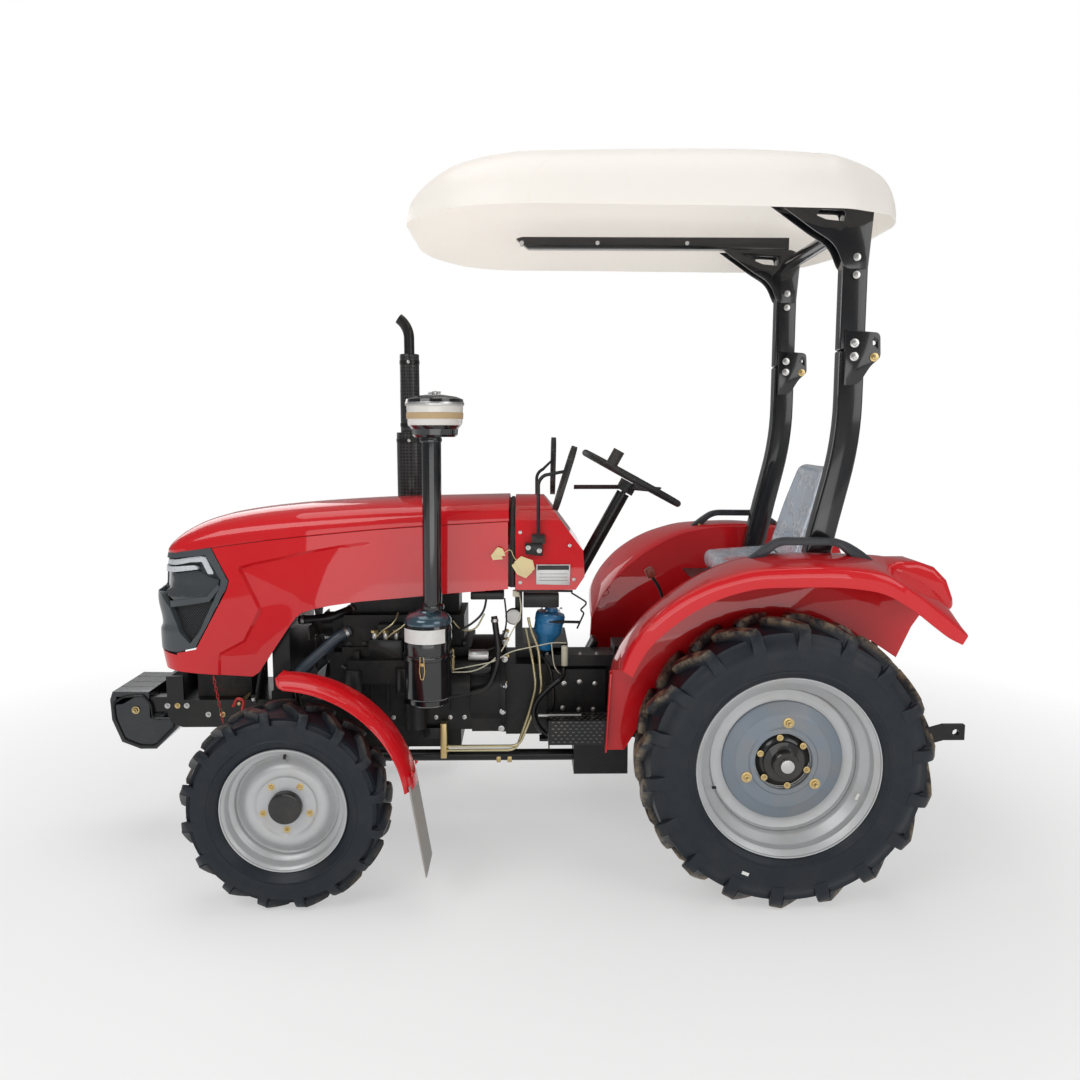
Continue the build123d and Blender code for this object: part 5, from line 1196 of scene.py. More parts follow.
STATIONS_BETWEEN = 5         # stations made for each one in the table
last_station = (len(FENDER) - 1) * STATIONS_BETWEEN
rows = [(float(number),) + tuple(value for place in station for value in place)
        for number, station in enumerate(FENDER)]
for hand, side in (("left", -1), ("right", 1)):
    bm = bmesh.new()
    sections = []
    for number in range(last_station + 1):
        crease_a, crease_z, skirt_a, skirt_z, inner_a, inner_z = smooth_row(
            rows, number / STATIONS_BETWEEN)
        out_way = Vector((crease_a - skirt_a, crease_z - skirt_z)).normalized()
        # the crown flattens over the last stations at both ends
        ends = min(number / 3, (last_station - number) / 3, 1.0)
        section = []
        for share, lift in CROWN:
            y = FENDER_IN + (FENDER_OUT - FENDER_IN) * share
            ahead = inner_a + (crease_a - inner_a) * share
            z = inner_z + (crease_z - inner_z) * share
            lift *= 0.45 + 0.55 * ends
            section.append(spot(ahead + out_way.x * lift, side * y, z + out_way.y * lift))
        for share, y in ((0.12, FENDER_OUT + 1.8), (0.5, FENDER_OUT + 1.8), (0.93, FENDER_OUT + 1.5),
                         (1.0, FENDER_OUT)):
            section.append(spot(crease_a + (skirt_a - crease_a) * share, side * y,
                                crease_z + (skirt_z - crease_z) * share))
        section.append(spot(skirt_a, side * (FENDER_OUT - 9), skirt_z))
        sections.append(section)
    grid = [[bm.verts.new(point) for point in section] for section in sections]
    skin_rows(bm, grid)
    bm.normal_update()
    bmesh.ops.recalc_face_normals(bm, faces=bm.faces)
    middle = grid[len(grid) // 2][4]
    if middle.normal.z < 0:
        bmesh.ops.reverse_faces(bm, faces=bm.faces)
    bm.normal_update()
    thicken(bm, bm.faces[:], FENDER_SKIN / 1000)
    # inner wall, cut to run from the platform up under the crown and down behind
    wall = [tuple(smooth_row(rows, number / 2)[4:]) for number in range((len(FENDER) - 1) * 2 + 1)]
    wall += [(-449, 833), (-404, 732), (-318, 789), (-250, 700), (-150, 660), (0, 650),
             (200, 640), (330, 600), (415, 520), (469, 429), (530, 429)]
    low_y, high_y = sorted((side * FENDER_IN, side * (FENDER_IN + 4)))
    plate(bm, wall, low_y, high_y, 0.8, SHEET)
    # the flange that meets the platform
    low_y, high_y = sorted((side * (FENDER_IN - 4), side * (FENDER_IN + 30)))
    plate(bm, ((519, 688), (533, 428), (528, 428), (514, 688)), low_y, high_y, 0.8, SHEET)
    # pressed bulge at the tail, and the lamp in its rear face
    lamp_low, lamp_high = sorted((side * 414, side * 560))
    plate(bm, ((-290, 1040), (-340, 1064), (-400, 1064), (-452, 1046), (-492, 1006),
               (-514, 950), (-518, 915), (-480, 905), (-400, 960)),
          lamp_low, lamp_high, 20, SHEET, segments=5)
    lamp_low, lamp_high = sorted((side * 440, side * 535))
    plate(bm, ((-480, 1000), (-503, 990), (-522, 934), (-505, 925)), lamp_low, lamp_high, 4, LENS,
          segments=3)
    # rubber pad and the bolts of the handle's feet
    pad_low, pad_high = sorted((side * 560, side * 640))
    plate(bm, ((451, 872), (426, 902), (421, 893), (446, 863)), pad_low, pad_high, 3, PAD)
    for ahead, z in ((70, 1066), (-250, 1070)):
        bolt(bm, spot(ahead, side * 470, z + 4), (0, 0, 1), 0.008, FOOT_BOLT, length=0.003)
    fender = add_object(f"rear_fender_{hand}_pressed", bm, "chassis", FENDER_PAINTS,
                        (f"rear_fender_{hand}",), sharp=32.0)

# ---- seat ----
# A sprung cushion and a backrest of foam under grey vinyl, still in the maker's clear
# film, which puffs between the seams and creases at the corners. Both are screwed to a
# black pan.
film_wrap = finish("film_wrap", (0.5, 0.58, 0.68), 0.18, coat=0.8, grime=0.0, grain=0.0,
                   shade=0.35)
tree = film_wrap.node_tree
shader = tree.nodes["Principled BSDF"]
place = tree.nodes.new("ShaderNodeTexCoord").outputs["Object"]
stretch = tree.nodes.new("ShaderNodeMapping")
dial(stretch, {"Scale": (8.0, 3.0, 4.0), "Rotation": (0.35, 0.6, 0.2)})
tree.links.new(place, stretch.inputs["Vector"])
folds = noise_node(tree, stretch.outputs["Vector"], 2.4, 5.0, 0.62)
ridge = math_node(tree, "ABSOLUTE", math_node(tree, "SUBTRACT", folds, 0.5))
fold_line_and_highlight = span_node(tree, ridge, 0.0, 0.055, 1.0, 0.0)
clean = shader.inputs["Base Color"].links[0].from_socket
# pale lines along the folds are painted highlights on the film; the same mask bumps the folds
tree.links.new(mix_colours(tree, math_node(tree, "MULTIPLY", fold_line_and_highlight, 0.55), clean,
                           (0.92, 0.95, 0.98)), shader.inputs["Base Color"])
tree.links.new(bump_node(tree, fold_line_and_highlight, 0.7, 0.006), shader.inputs["Normal"])
SEAM_PITCH = 0.07
SEAM_HALF_WIDTH = 0.006
PIPING = 0.012               # the piped edge holds the cover this far from its middle line
CLOTH_FRAMES = 14


def on_seam(point, along, half_width):
    """True on the piped edge and on the quilting seams across a pad."""
    near_line = abs(math.remainder(point[along], SEAM_PITCH)) < SEAM_HALF_WIDTH
    return abs(point[2 - along]) < PIPING and abs(point.y) > half_width - PIPING or near_line


def settle(bm, seam, pressure, most):
    """Let a closed cover puff out under pressure as cloth, held at its seams."""
    mesh = bpy.data.meshes.new("cover")
    bm.verts.index_update()
    bm.to_mesh(mesh)
    cover = bpy.data.objects.new("cover", mesh)
    bpy.context.collection.objects.link(cover)
    held = cover.vertex_groups.new(name="seam")
    held.add([vert.index for vert in mesh.vertices if seam(vert.co)], 1.0, "REPLACE")
    cloth = cover.modifiers.new("padding", "CLOTH")
    cloth.settings.quality = 5
    cloth.settings.mass = 0.3
    cloth.settings.tension_stiffness = 12
    cloth.settings.compression_stiffness = 12
    cloth.settings.bending_stiffness = 0.4
    cloth.settings.use_pressure = True
    cloth.settings.uniform_pressure_force = pressure
    cloth.settings.vertex_group_mass = "seam"
    cloth.settings.effector_weights.gravity = 0.0
    scene = bpy.context.scene
    for number in range(1, CLOTH_FRAMES + 1):
        scene.frame_set(number)
    shaped = cover.evaluated_get(bpy.context.evaluated_depsgraph_get()).to_mesh()
    for vert, after in zip(bm.verts, shaped.vertices):
        move = after.co - vert.co
        if move.length > most:
            move *= most / move.length
        vert.co += move
    scene.frame_set(1)
    bpy.data.objects.remove(cover)


def pad(length, width, height, cell, rim):
    """A closed pad of quads about the origin: rounded corners, and edges eased by rim."""
    bm = bmesh.new()
    steps = [max(round(side / cell), 2) for side in (length, width, height)]
    bmesh.ops.create_cube(bm, size=1.0)
    for axis, count in enumerate(steps):
        for step in range(1, count):
            across = Vector((0, 0, 0))
            across[axis] = 1.0
            bmesh.ops.bisect_plane(bm, geom=bm.verts[:] + bm.edges[:] + bm.faces[:], dist=1e-6,
                                   plane_co=across * (step / count - 0.5), plane_no=across)
    half = Vector((length, width, height)) / 2
    for vert in bm.verts:
        point = Vector((vert.co.x * length, vert.co.y * width, vert.co.z * height))
        core = Vector(max(-h + rim, min(h - rim, p)) for p, h in zip(point, half))
        away = point - core
        if away.length > rim:
            away *= rim / away.length
        vert.co = core + away
    return bm


# middle, size, rim and lean (degrees, top to the rear) of each pad; its node
PADS = (
    ("seat_cushion", (-60, 0, 978), (0.326, 0.428, 0.078), 0.03, -4.0),
    ("seat_back", (-208, 0, 1140), (0.07, 0.37, 0.405), 0.032, 17.5),
)
for node_name, middle, size, rim, lean in PADS:
    low, high = (Vector(corner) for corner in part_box(node_name))
    bm = pad(*size, 0.011, rim)
    upright = node_name == "seat_back"
    along = 2 if upright else 0
    settle(bm, lambda point: on_seam(point, along, size[1] / 2), pressure=3.2, most=0.008)
    if upright:
        # narrower, rounded shoulders and a hollow for the back
        for vert in bm.verts:
            up = vert.co.z / size[2] + 0.5
            vert.co.y *= 1.0 - 0.17 * max(up - 0.55, 0.0) ** 1.5 / 0.3
            vert.co.x += 0.01 * (1.0 - (vert.co.y / 0.2) ** 2)
    else:
        for vert in bm.verts:
            vert.co.z -= 0.008 * math.exp(-(vert.co.y / 0.11) ** 2) * (vert.co.z > 0)
    turn = Matrix.Rotation(math.radians(lean), 4, "Y")
    bmesh.ops.transform(bm, matrix=Matrix.Translation(spot(*middle)) @ turn, verts=bm.verts)
    # kept within the size of the frame's pad
    for vert in bm.verts:
        vert.co = Vector(max(l - 0.012, min(h + 0.03, p)) for p, l, h in zip(vert.co, low, high))
    cushion = add_object(f"{node_name}_wrapped", bm, "chassis", [film_wrap], (node_name,),
                         sharp=60.0)

# ---- canopy frame ----
# Box-section steel posts with pressed bends, painted gloss black, folding on a pin between
# two bolted plates. Slotted gussets carry a rail on each side for the canopy.
def eased(outline, cut=0.0):
    """A closed outline with rounded corners; a place may give its own cut as a third value."""
    out = []
    for number, place in enumerate(outline):
        here = Vector(place[:2])
        back = Vector(outline[number - 1][:2]) - here
        on = Vector(outline[(number + 1) % len(outline)][:2]) - here
        size = min(place[2] if len(place) > 2 else cut, back.length * 0.46, on.length * 0.46)
        out += [tuple(point) for point in (corner(here, back, on, size) if size > 0 else [here])]
    return out


post_black = finish("post_black", (0.0055, 0.006, 0.0075), 0.22, coat=0.6, grime=0.02,
                    grain=0.05)
ROPS_PAINTS = [post_black, bright_steel, plated_bolt]
POST, ZINC, PIN = range(3)
# places (ahead, z) and how much of the corner is cut round
LOWER = ((-268, 1705, 0), (-190, 1705, 0), (-190, 1430, 170), (-105, 1080, 260), (-20, 600, 0),
         (-98, 600, 0), (-183, 1060, 260), (-268, 1420, 170))
UPPER = ((-190, 1706, 0), (-268, 1706, 0), (-268, 2133, 30), (-190, 2133, 8))
GUSSET = ((27, 2150, 4), (-96, 2064, 20), (-160, 2026, 60), (-193, 1950, 20), (-264, 1950, 10),
          (-277, 2133, 10), (-240, 2150, 10))
SLOT = ((-98, 2109, 8), (-113, 2126, 8), (-187, 2123, 8), (-194, 2090, 8), (-130, 2096, 8))
FOLD_PLATE = ((-202, 1767, 8), (-311, 1758, 16), (-315, 1682, 14), (-285, 1657, 14),
              (-250, 1600, 20), (-202, 1596, 8))
SPARE_HOLE = [(-292 + 7 * math.cos(math.tau * step / 16), 1727 + 7 * math.sin(math.tau * step / 16))
              for step in range(16)]
RAIL = ((823, 2190, 4), (776, 2153, 6), (-232, 2153, 0), (-232, 2197, 0), (800, 2197, 6))
lower, upper = bmesh.new(), bmesh.new()
for side in (-1, 1):
    plate(lower, eased(LOWER), side * 345, side * 400, 7, POST, segments=4)
    plate(lower, ((84, 470), (84, 520), (40, 600), (-110, 600), (-92, 520), (-84, 470)),
          side * 350, side * 396, 3, POST)
    plate(upper, eased(UPPER), side * 346, side * 399, 7, POST, segments=4)
    plate(upper, ((-200, 1709), (-278, 1709), (-300, 1690), (-308, 1672), (-294, 1670),
                  (-280, 1690), (-200, 1712)), side * 350, side * 395, 2, POST)
    for near, far in ((399.5, 406), (339, 345.5)):
        plate(upper, eased(GUSSET), side * near, side * far, 1.5, POST, holes=(eased(SLOT),))
    plate(upper, eased(RAIL), side * 346, side * 386, 3, POST)
    for outer in (399.5, 337.0):
        plate(lower, eased(FOLD_PLATE), side * outer, side * (outer + 8), 1.5, POST,
              holes=(SPARE_HOLE,))
    for face, out in ((407.8, side), (336.8, -side)):
        for ahead, z in ((-231, 1726), (-231, 1685)):
            bolt(lower, spot(ahead, side * face, z), (0, out, 0), 0.014, ZINC)
        bolt(upper, spot(-294, side * face, 1683), (0, out, 0), 0.014, PIN)
    for face, out in ((406, side), (339, -side)):
        for ahead, z in ((-229, 1985), (-229, 1932)):
            bolt(upper, spot(ahead, side * face, z), (0, out, 0), 0.012, ZINC)
    for face, out in ((345.5, -side), (386, side)):
        for ahead in (800, 509, 163):
            bolt(upper, spot(ahead, side * face, 2175), (0, out, 0), 0.008, ZINC, length=0.006)
rod(upper, spot(-229, -340, 2093), spot(-229, 340, 2093), 0.024, POST, 32)
add_object("rops_lower_posts", lower, "chassis", ROPS_PAINTS, ("rops_lower",), sharp=40.0)
add_object("rops_upper_frame", upper, "canopy_frame", ROPS_PAINTS, ("rops_upper",), sharp=40.0)

# ---- air cleaner and intake ----
# A black enamelled canister with a domed lid, a clamp band and a sprung latch stands beside
# the engine, and its pipe carries a pre-cleaner bowl of clear plastic with a steel rim.
canister_black = finish("canister_black", (0.006, 0.007, 0.009), 0.16, coat=0.8, grime=0.03,
                        grain=0.0)
canister_lid = finish("canister_lid", (0.045, 0.085, 0.115), 0.2, metallic=0.4, coat=0.7,
                      grime=0.05, grain=0.0)
clear_bowl = finish("clear_bowl", (0.72, 0.7, 0.66), 0.15, coat=0.4, grime=0.1)
tan_dust = finish("tan_dust", (0.5, 0.36, 0.2), 0.7, grime=0.3)
AIR_PAINTS = [canister_black, canister_lid, clear_bowl, tan_dust, bright_steel, plated_bolt,
              label_white]
SHELL, LID, BOWL, DUST, TRIM, LATCH, PAPER_LABEL = range(7)


def turn_up(bm, foot, profile, steps, slot):
    """Turn a profile of (radius, height) in millimetres about the upright through foot."""
    lathe(bm, foot, (0, 0, 1), [(radius / 1000, z / 1000) for radius, z in profile], steps, slot)


CANISTER_FOOT = spot(1108, -330, 0)
CANISTER = ((0, 563), (60, 563), (66, 568), (66, 583), (72, 585), (78, 592), (78, 716),
            (81, 718), (82, 722), (82, 730), (81, 734), (78, 736), (78, 822), (75, 828),
            (74, 832))
CANISTER_LID = ((74, 831), (77, 834), (77, 846), (70, 858), (56, 866), (40, 870), (36, 872),
                (34, 876), (0, 876))
bm = bmesh.new()
turn_up(bm, CANISTER_FOOT, CANISTER, 64, SHELL)
turn_up(bm, CANISTER_FOOT, CANISTER_LID, 64, LID)
# latches on the band: a screw, and a sprung wire loop that hangs from it
for turn in (-98, 20):
    way = Vector((math.cos(math.radians(turn)), math.sin(math.radians(turn)), 0.0))
    aside = Vector((-way.y, way.x, 0.0))
    foot = CANISTER_FOOT + way * 0.0835
    loop = [foot + aside * (wide / 1000) + Vector((0, 0, z / 1000)) for wide, z in (
        (-6, 738), (-7, 712), (-9, 690), (-4, 664), (4, 664), (9, 690), (7, 712), (6, 738))]
    tube(bm, loop, 0.0018, LATCH, 8, 0.006)
    bolt(bm, foot + Vector((0, 0, 0.712)), way, 0.006, LATCH, length=0.003)
# blank label, curved round the canister
label = []
for step in range(17):
    turn = math.radians(-158 + 118 * step / 16)
    edge = Vector((math.cos(turn), math.sin(turn), 0.0)) * 0.0788
    label.append([bm.verts.new(spot(1108, -330, z) + edge) for z in (777, 823)])
for first, second in zip(label, label[1:]):
    bm.faces.new((first[0], second[0], second[1], first[1])).material_index = PAPER_LABEL
# bracket to the engine
slab(bm, spot(1150, -254, 640), spot(1106, -136, 648), 0.001, SHELL)
add_object("air_canister", bm, "chassis", AIR_PAINTS, ("air_cleaner",), sharp=35.0)
bm = bmesh.new()
tube(bm, [spot(1100, -330, 872), spot(1092, -330, 900), spot(1088, -330, 1440)], 0.031, SHELL, 40)
for z in (886, 1428):
    band = [(radius, z + rise) for radius, rise in ((31, -8), (35, -7), (36, 0), (35, 7), (31, 8))]
    turn_up(bm, spot(1090, -330, 0), band, 48, SHELL)
add_object("intake_pipe", bm, "chassis", AIR_PAINTS, ("intake_stack",), sharp=35.0)
bm = bmesh.new()
# from the neck up: neck, bowl, line of dust in it, rim, lid and knob
PRECLEANER = (
    (((0, 1437), (66, 1437), (72, 1444), (74, 1462), (84, 1474)), SHELL),
    (((84, 1474), (87, 1480), (90, 1532), (90, 1536)), BOWL),
    (((89.5, 1494), (90.3, 1497), (90.8, 1512), (89.5, 1514)), DUST),
    (((90, 1535), (93, 1536), (94, 1541), (93, 1546), (90, 1547)), TRIM),
    (((92, 1546), (90, 1556), (70, 1564), (30, 1570), (0, 1570)), SHELL),
    (((9, 1568), (9, 1578), (6, 1582), (0, 1582)), TRIM),
)
for profile, slot in PRECLEANER:
    turn_up(bm, spot(1076, -330, 0), profile, 64, slot)
slab(bm, spot(1096, -332, 1572), spot(1056, -328, 1581), 0.0015, TRIM)
add_object("precleaner", bm, "chassis", AIR_PAINTS, ("precleaner_bowl",), sharp=30.0)

# ---- exhaust ----
# Perforated heat shields of black enamelled sheet stand round the silencer and the pipe
# above it, each held by two band clamps.
shield_black = finish("shield_black", (0.009, 0.009, 0.01), 0.4, coat=0.2, grime=0.05)
tree = shield_black.node_tree
shader = tree.nodes["Principled BSDF"]
_, x, y, z = object_axes(tree)
STACK = spot(1234, 305, 0)
# punched holes: how many columns round the shield, and radians a metre up it
HOLE_COLUMNS, HOLE_ROWS = 12.0, 250.0
round_way = math_node(tree, "ARCTAN2", math_node(tree, "SUBTRACT", y, STACK.y),
                      math_node(tree, "SUBTRACT", x, STACK.x))
turns = math_node(tree, "MULTIPLY", round_way, HOLE_COLUMNS)
rows_up = math_node(tree, "MULTIPLY", z, HOLE_ROWS)
holes = math_node(tree, "MULTIPLY",
                  math_node(tree, "SINE", math_node(tree, "ADD", turns, rows_up)),
                  math_node(tree, "SINE", math_node(tree, "SUBTRACT", turns, rows_up)))
punched = span_node(tree, holes, 0.25, 0.4)
tree.links.new(mix_colours(tree, punched, (0.03, 0.031, 0.033), (0.0005, 0.0005, 0.0005)),
               shader.inputs["Base Color"])
tree.links.new(bump_node(tree, math_node(tree, "SUBTRACT", 1.0, punched), 0.8, 0.002),
               shader.inputs["Normal"])
bm = bmesh.new()
for low, high, radius in ((0.962, 1.45, 0.0535), (1.45, 1.748, 0.0372)):
    profile = ((radius - 0.004, low - 0.001), (radius - 0.0005, low), (radius, low + 0.002),
               (radius, high - 0.002), (radius - 0.0005, high), (radius - 0.004, high + 0.001))
    lathe(bm, STACK, (0, 0, 1), profile, 72, 0)
    for z in (low + 0.03, high - 0.03):
        lathe(bm, STACK, (0, 0, 1), ((radius, z - 0.008), (radius + 0.0015, z - 0.007),
                                     (radius + 0.0015, z + 0.007), (radius, z + 0.008)), 72, 1)
        bolt(bm, STACK + Vector((0, -radius - 0.002, z)), (0, -1, 0), 0.006, 2, length=0.006)
add_object("exhaust_shields", bm, "chassis", [shield_black, frame_black, bright_steel], sharp=35.0)

# ---- front guards ----
# Crowned steel mudguards in red that turn with the steered wheels, their edges rolled
# under; two bolts near the lower end hold each one's rubber flap.
GUARD_CENTRE = (1519, 320)
GUARD_SPAN = (488, 652)
GUARD_EDGE, GUARD_CREST = 377, 403
GUARD_REAR, GUARD_FRONT = 9.5, 91.5          # degrees from the rear, upwards
GUARD_SKIN = 0.0025
for hand, side in (("left", -1), ("right", 1)):
    bm = bmesh.new()
    grid = []
    for number in range(57):
        share = number / 56
        turn = math.radians(GUARD_REAR + (GUARD_FRONT - GUARD_REAR) * share)
        # the tip narrows to a round end
        tip = max((share - 0.94) / 0.06, 0.0)
        narrow = math.sqrt(max(1.0 - tip ** 2, 0.0)) * 0.5 + 0.5
        row = []
        for step in range(25):
            across = (step / 24 - 0.5) * narrow + 0.5
            crown = max(1.0 - abs(2 * across - 1.0) ** 2.6, 0.0) ** 0.75
            radius = GUARD_EDGE + (GUARD_CREST - GUARD_EDGE) * crown + 6.0 * share
            y = GUARD_SPAN[0] + (GUARD_SPAN[1] - GUARD_SPAN[0]) * across
            row.append(spot(GUARD_CENTRE[0] - radius * math.cos(turn), side * y,
                            GUARD_CENTRE[1] + radius * math.sin(turn)))
        grid.append(row)
    verts = [[bm.verts.new(point) for point in row] for row in grid]
    faces = skin_rows(bm, verts)
    bm.normal_update()
    if verts[28][12].normal.z < 0:
        bmesh.ops.reverse_faces(bm, faces=faces)
        bm.normal_update()
    thicken(bm, faces, GUARD_SKIN)
    # rolled edges
    for end in (0, -1):
        tube(bm, [row[end] for row in grid], 0.0035, 0, 8, bend=0)
    # stay from the knuckle, a bent flat bar with two bolts
    stay = [spot(1494, side * y, z) for y, z in ((452, 440), (470, 560), (520, 672), (570, 716))]
    tube(bm, stay, 0.008, 1, 12)
    for y in (520, 620):
        turn = math.radians(16)
        bolt(bm, spot(GUARD_CENTRE[0] - (GUARD_CREST - 1) * math.cos(turn), side * y,
                      GUARD_CENTRE[1] + (GUARD_CREST - 1) * math.sin(turn)),
             (math.cos(turn), 0, math.sin(turn)), 0.008, 0, length=0.004)
    guard = add_object(f"front_guard_{hand}_pressed", bm, f"knuckle_{hand}",
                       [red_paint, frame_black], (f"front_guard_{hand}",), sharp=34.0)

# ---- front weights and frame fittings ----
# Four cast weights hang on the frame's nose on a through bolt, each with a raised rim. The
# frame behind carries plated bolts and a red safety chain on a hook.
chain_red = finish("chain_red", (0.5, 0.02, 0.02), 0.4, coat=0.3)
WEIGHT_RIM = ((2236, 508), (2233, 450), (2205, 376), (2150, 352), (2098, 352), (2030, 418),
              (2028, 452), (2100, 452), (2104, 500), (2130, 535), (2200, 530))
FRONT_PAINTS = [frame_black, plated_bolt, bright_steel, chain_red]
IRON, GOLD, BRIGHT, CHAIN = range(4)
bm = bmesh.new()
for side in (-1, 1):
    rim = [spot(ahead, side * 135.5, z) for ahead, z in eased(WEIGHT_RIM, 14)]
    tube(bm, rim + [rim[0]], 0.0045, IRON, 8, bend=0)
    bolt(bm, spot(2159, side * 135, 482), (0, side, 0), 0.014, GOLD, length=0.012)
    for ahead, z, slot in ((2041, 502, BRIGHT), (2006, 502, GOLD), (1974, 502, BRIGHT),
                           (1900, 470, BRIGHT), (1850, 470, GOLD), (1700, 470, BRIGHT)):
        bolt(bm, spot(ahead, side * 151, z), (0, side, 0), 0.01, slot, length=0.006)
# chain: links turned a quarter each way, down from the hood
CHAIN_LINKS = 13
for number in range(CHAIN_LINKS):
    share = number / (CHAIN_LINKS - 1)
    middle = spot(1841 - 25 * share, -250, 627 - 150 * share)
    ring = []
    for step in range(13):
        turn = math.tau * step / 12
        wide, tall = 0.0042 * math.cos(turn), 0.0085 * math.sin(turn)
        ring.append(middle + (Vector((wide, 0, tall)) if number % 2 else Vector((0, wide, tall))))
    tube(bm, ring, 0.0012, CHAIN, 6, bend=0)
# its hook, and the pin that carries the hook
tube(bm, [spot(1780, -250, 528), spot(1764, -250, 560), spot(1742, -250, 548),
          spot(1752, -250, 505)], 0.005, CHAIN, 10)
rod(bm, spot(1758, -256, 540), spot(1758, -140, 540), 0.006, GOLD, 16, 0.001)
add_object("front_fittings", bm, "chassis", FRONT_PAINTS, sharp=35.0)

# ---- engine fittings and hoses ----
# The black engine carries its starter, injection pump and filters on the left, with bolted
# covers. A blue steering valve hangs under the cowl, fed by zinc-plated pipes, and rubber
# hoses, a coolant hose and cream wiring run between them.
valve_blue = finish("valve_blue", (0.012, 0.16, 0.36), 0.3, coat=0.5, grime=0.08)
pipe_plated = finish("pipe_plated", (0.56, 0.5, 0.3), 0.34, metallic=0.8, grime=0.2)
hose_black = finish("hose_black", (0.006, 0.006, 0.007), 0.38, coat=0.2, grime=0.05)
hose_grey = finish("hose_grey", (0.045, 0.06, 0.08), 0.36, coat=0.2, grime=0.1)
wire_cream = finish("wire_cream", (0.62, 0.6, 0.46), 0.5, grime=0.15)
gauge_white = finish("gauge_white", (0.7, 0.7, 0.68), 0.3, coat=0.4)
ENGINE_PAINTS = [cast_black, valve_blue, pipe_plated, hose_black, hose_grey, wire_cream,
                 bright_steel, plated_bolt, gauge_white, frame_black]
CAST, BLUE, PIPE, HOSE, COOLANT, WIRE, SILVERY, BRASS, GAUGE, ENAMEL = range(10)
bm = bmesh.new()
# steering valve: a stepped drum that leans forward at its foot
valve_foot, valve_head = spot(722, -112, 690), spot(696, -112, 842)
lathe(bm, valve_foot, valve_head - valve_foot,
      ((0, 0), (0.024, 0), (0.028, 0.006), (0.031, 0.04), (0.046, 0.06), (0.05, 0.068),
       (0.05, 0.1), (0.052, 0.102), (0.052, 0.126), (0.048, 0.134), (0.024, 0.14),
       (0.022, 0.152), (0, 0.154)), 48, BLUE)
for number in range(5):
    turn = math.tau * number / 5 + 0.4
    bolt(bm, valve_head + Vector((0.036 * math.cos(turn), 0.036 * math.sin(turn), -0.01)),
         (valve_head - valve_foot), 0.006, SILVERY, length=0.003)
valve = add_object("steering_valve", bm, "chassis", ENGINE_PAINTS, ("steering_unit",), sharp=35.0)
bm = bmesh.new()
# pipes: places (ahead, y, z), radius, finish, bend
RUNS = (
    (((779, -150, 812), (769, -170, 766), (744, -185, 711), (732, -190, 564), (760, -188, 490),
      (812, -185, 362), (1066, -185, 362)), 5.0, PIPE, 0.03),
    (((788, -140, 772), (764, -178, 666), (752, -182, 574), (774, -182, 488), (822, -180, 346),
      (1066, -180, 346)), 5.0, PIPE, 0.03),
    (((758, -128, 700), (700, -165, 640), (690, -172, 520), (700, -165, 480)), 6.0, HOSE, 0.05),
    (((1075, -190, 542), (990, -205, 560), (918, -215, 577), (876, -220, 682),
      (896, -200, 827)), 11.0, HOSE, 0.06),
    (((1600, -150, 600), (1560, -155, 640), (1440, -135, 745), (1404, -118, 760)), 19.0, COOLANT,
     0.05),
    (((1580, -120, 800), (1480, -130, 806), (1430, -100, 822), (1400, -60, 830)), 15.0, HOSE, 0.05),
    (((1745, -140, 536), (1735, -145, 506), (1712, -140, 632), (1690, -120, 690)), 9.0, HOSE, 0.04),
    (((1031, -240, 652), (895, -225, 674), (842, -222, 709), (692, -200, 735),
      (648, -190, 730)), 2.0, WIRE, 0.05),
    (((1040, -232, 640), (960, -228, 640), (880, -222, 690), (800, -200, 840),
      (810, -190, 905)), 2.2, WIRE, 0.06),
    (((700, -200, 735), (690, -195, 640), (650, -160, 600)), 2.0, WIRE, 0.04),
    (((860, -200, 890), (850, -215, 800), (880, -210, 720), (960, -200, 700)), 3.0, HOSE, 0.06),
    (((920, -190, 900), (930, -215, 840), (990, -220, 790), (1060, -205, 770)), 4.0, HOSE, 0.06),
    (((1040, -150, 800), (1010, -175, 770), (960, -180, 775), (930, -170, 830)), 3.0, PIPE, 0.03),
    (((1320, -150, 700), (1300, -175, 760), (1240, -178, 800), (1230, -150, 830)), 3.2, PIPE, 0.03),
    (((1290, -150, 700), (1268, -180, 750), (1200, -180, 795), (1190, -150, 830)), 3.2, PIPE, 0.03),
    (((707, -160, 799), (640, -160, 798), (600, -160, 797)), 5.0, ENAMEL, 0.0),
    (((746, -300, 509), (602, -300, 508)), 5.0, SILVERY, 0.0),
    (((1430, -145, 640), (1380, -165, 620), (1300, -165, 600), (1210, -170, 600)), 6.0, HOSE, 0.04),
    (((630, -150, 899), (572, -150, 863), (599, -150, 838), (584, -150, 828),
      (609, -150, 772)), 3.0, HOSE, 0.015),
)
for places, radius, slot, bend in RUNS:
    points = [spot(*place) for place in places]
    tube(bm, points, radius / 1000, slot, 16 if radius > 6 else 10, bend)
    if slot in (HOSE, COOLANT) and radius > 8:
        for end, near in ((points[0], points[1]), (points[-1], points[-2])):
            way = (near - end).normalized()
            rod(bm, end + way * 0.01, end + way * 0.02, radius / 1000 + 0.002, SILVERY, 24)
# plated unions where the pipes meet the manifold and the valve
for ahead, y, z in ((1066, -185, 362), (1066, -180, 346)):
    bolt(bm, spot(ahead, y, z), (1, 0, 0), 0.012, BRASS, length=0.006, washer=False)
slab(bm, spot(1086, -194, 320), spot(1064, -158, 446), 0.003, BRASS)
slab(bm, spot(1150, -160, 380), spot(1080, -120, 420), 0.003, ENAMEL)
pipes = add_object("hoses_and_pipes", bm, "chassis", ENGINE_PAINTS, ("hydraulic_pipes",),
                   sharp=40.0)
bm = bmesh.new()
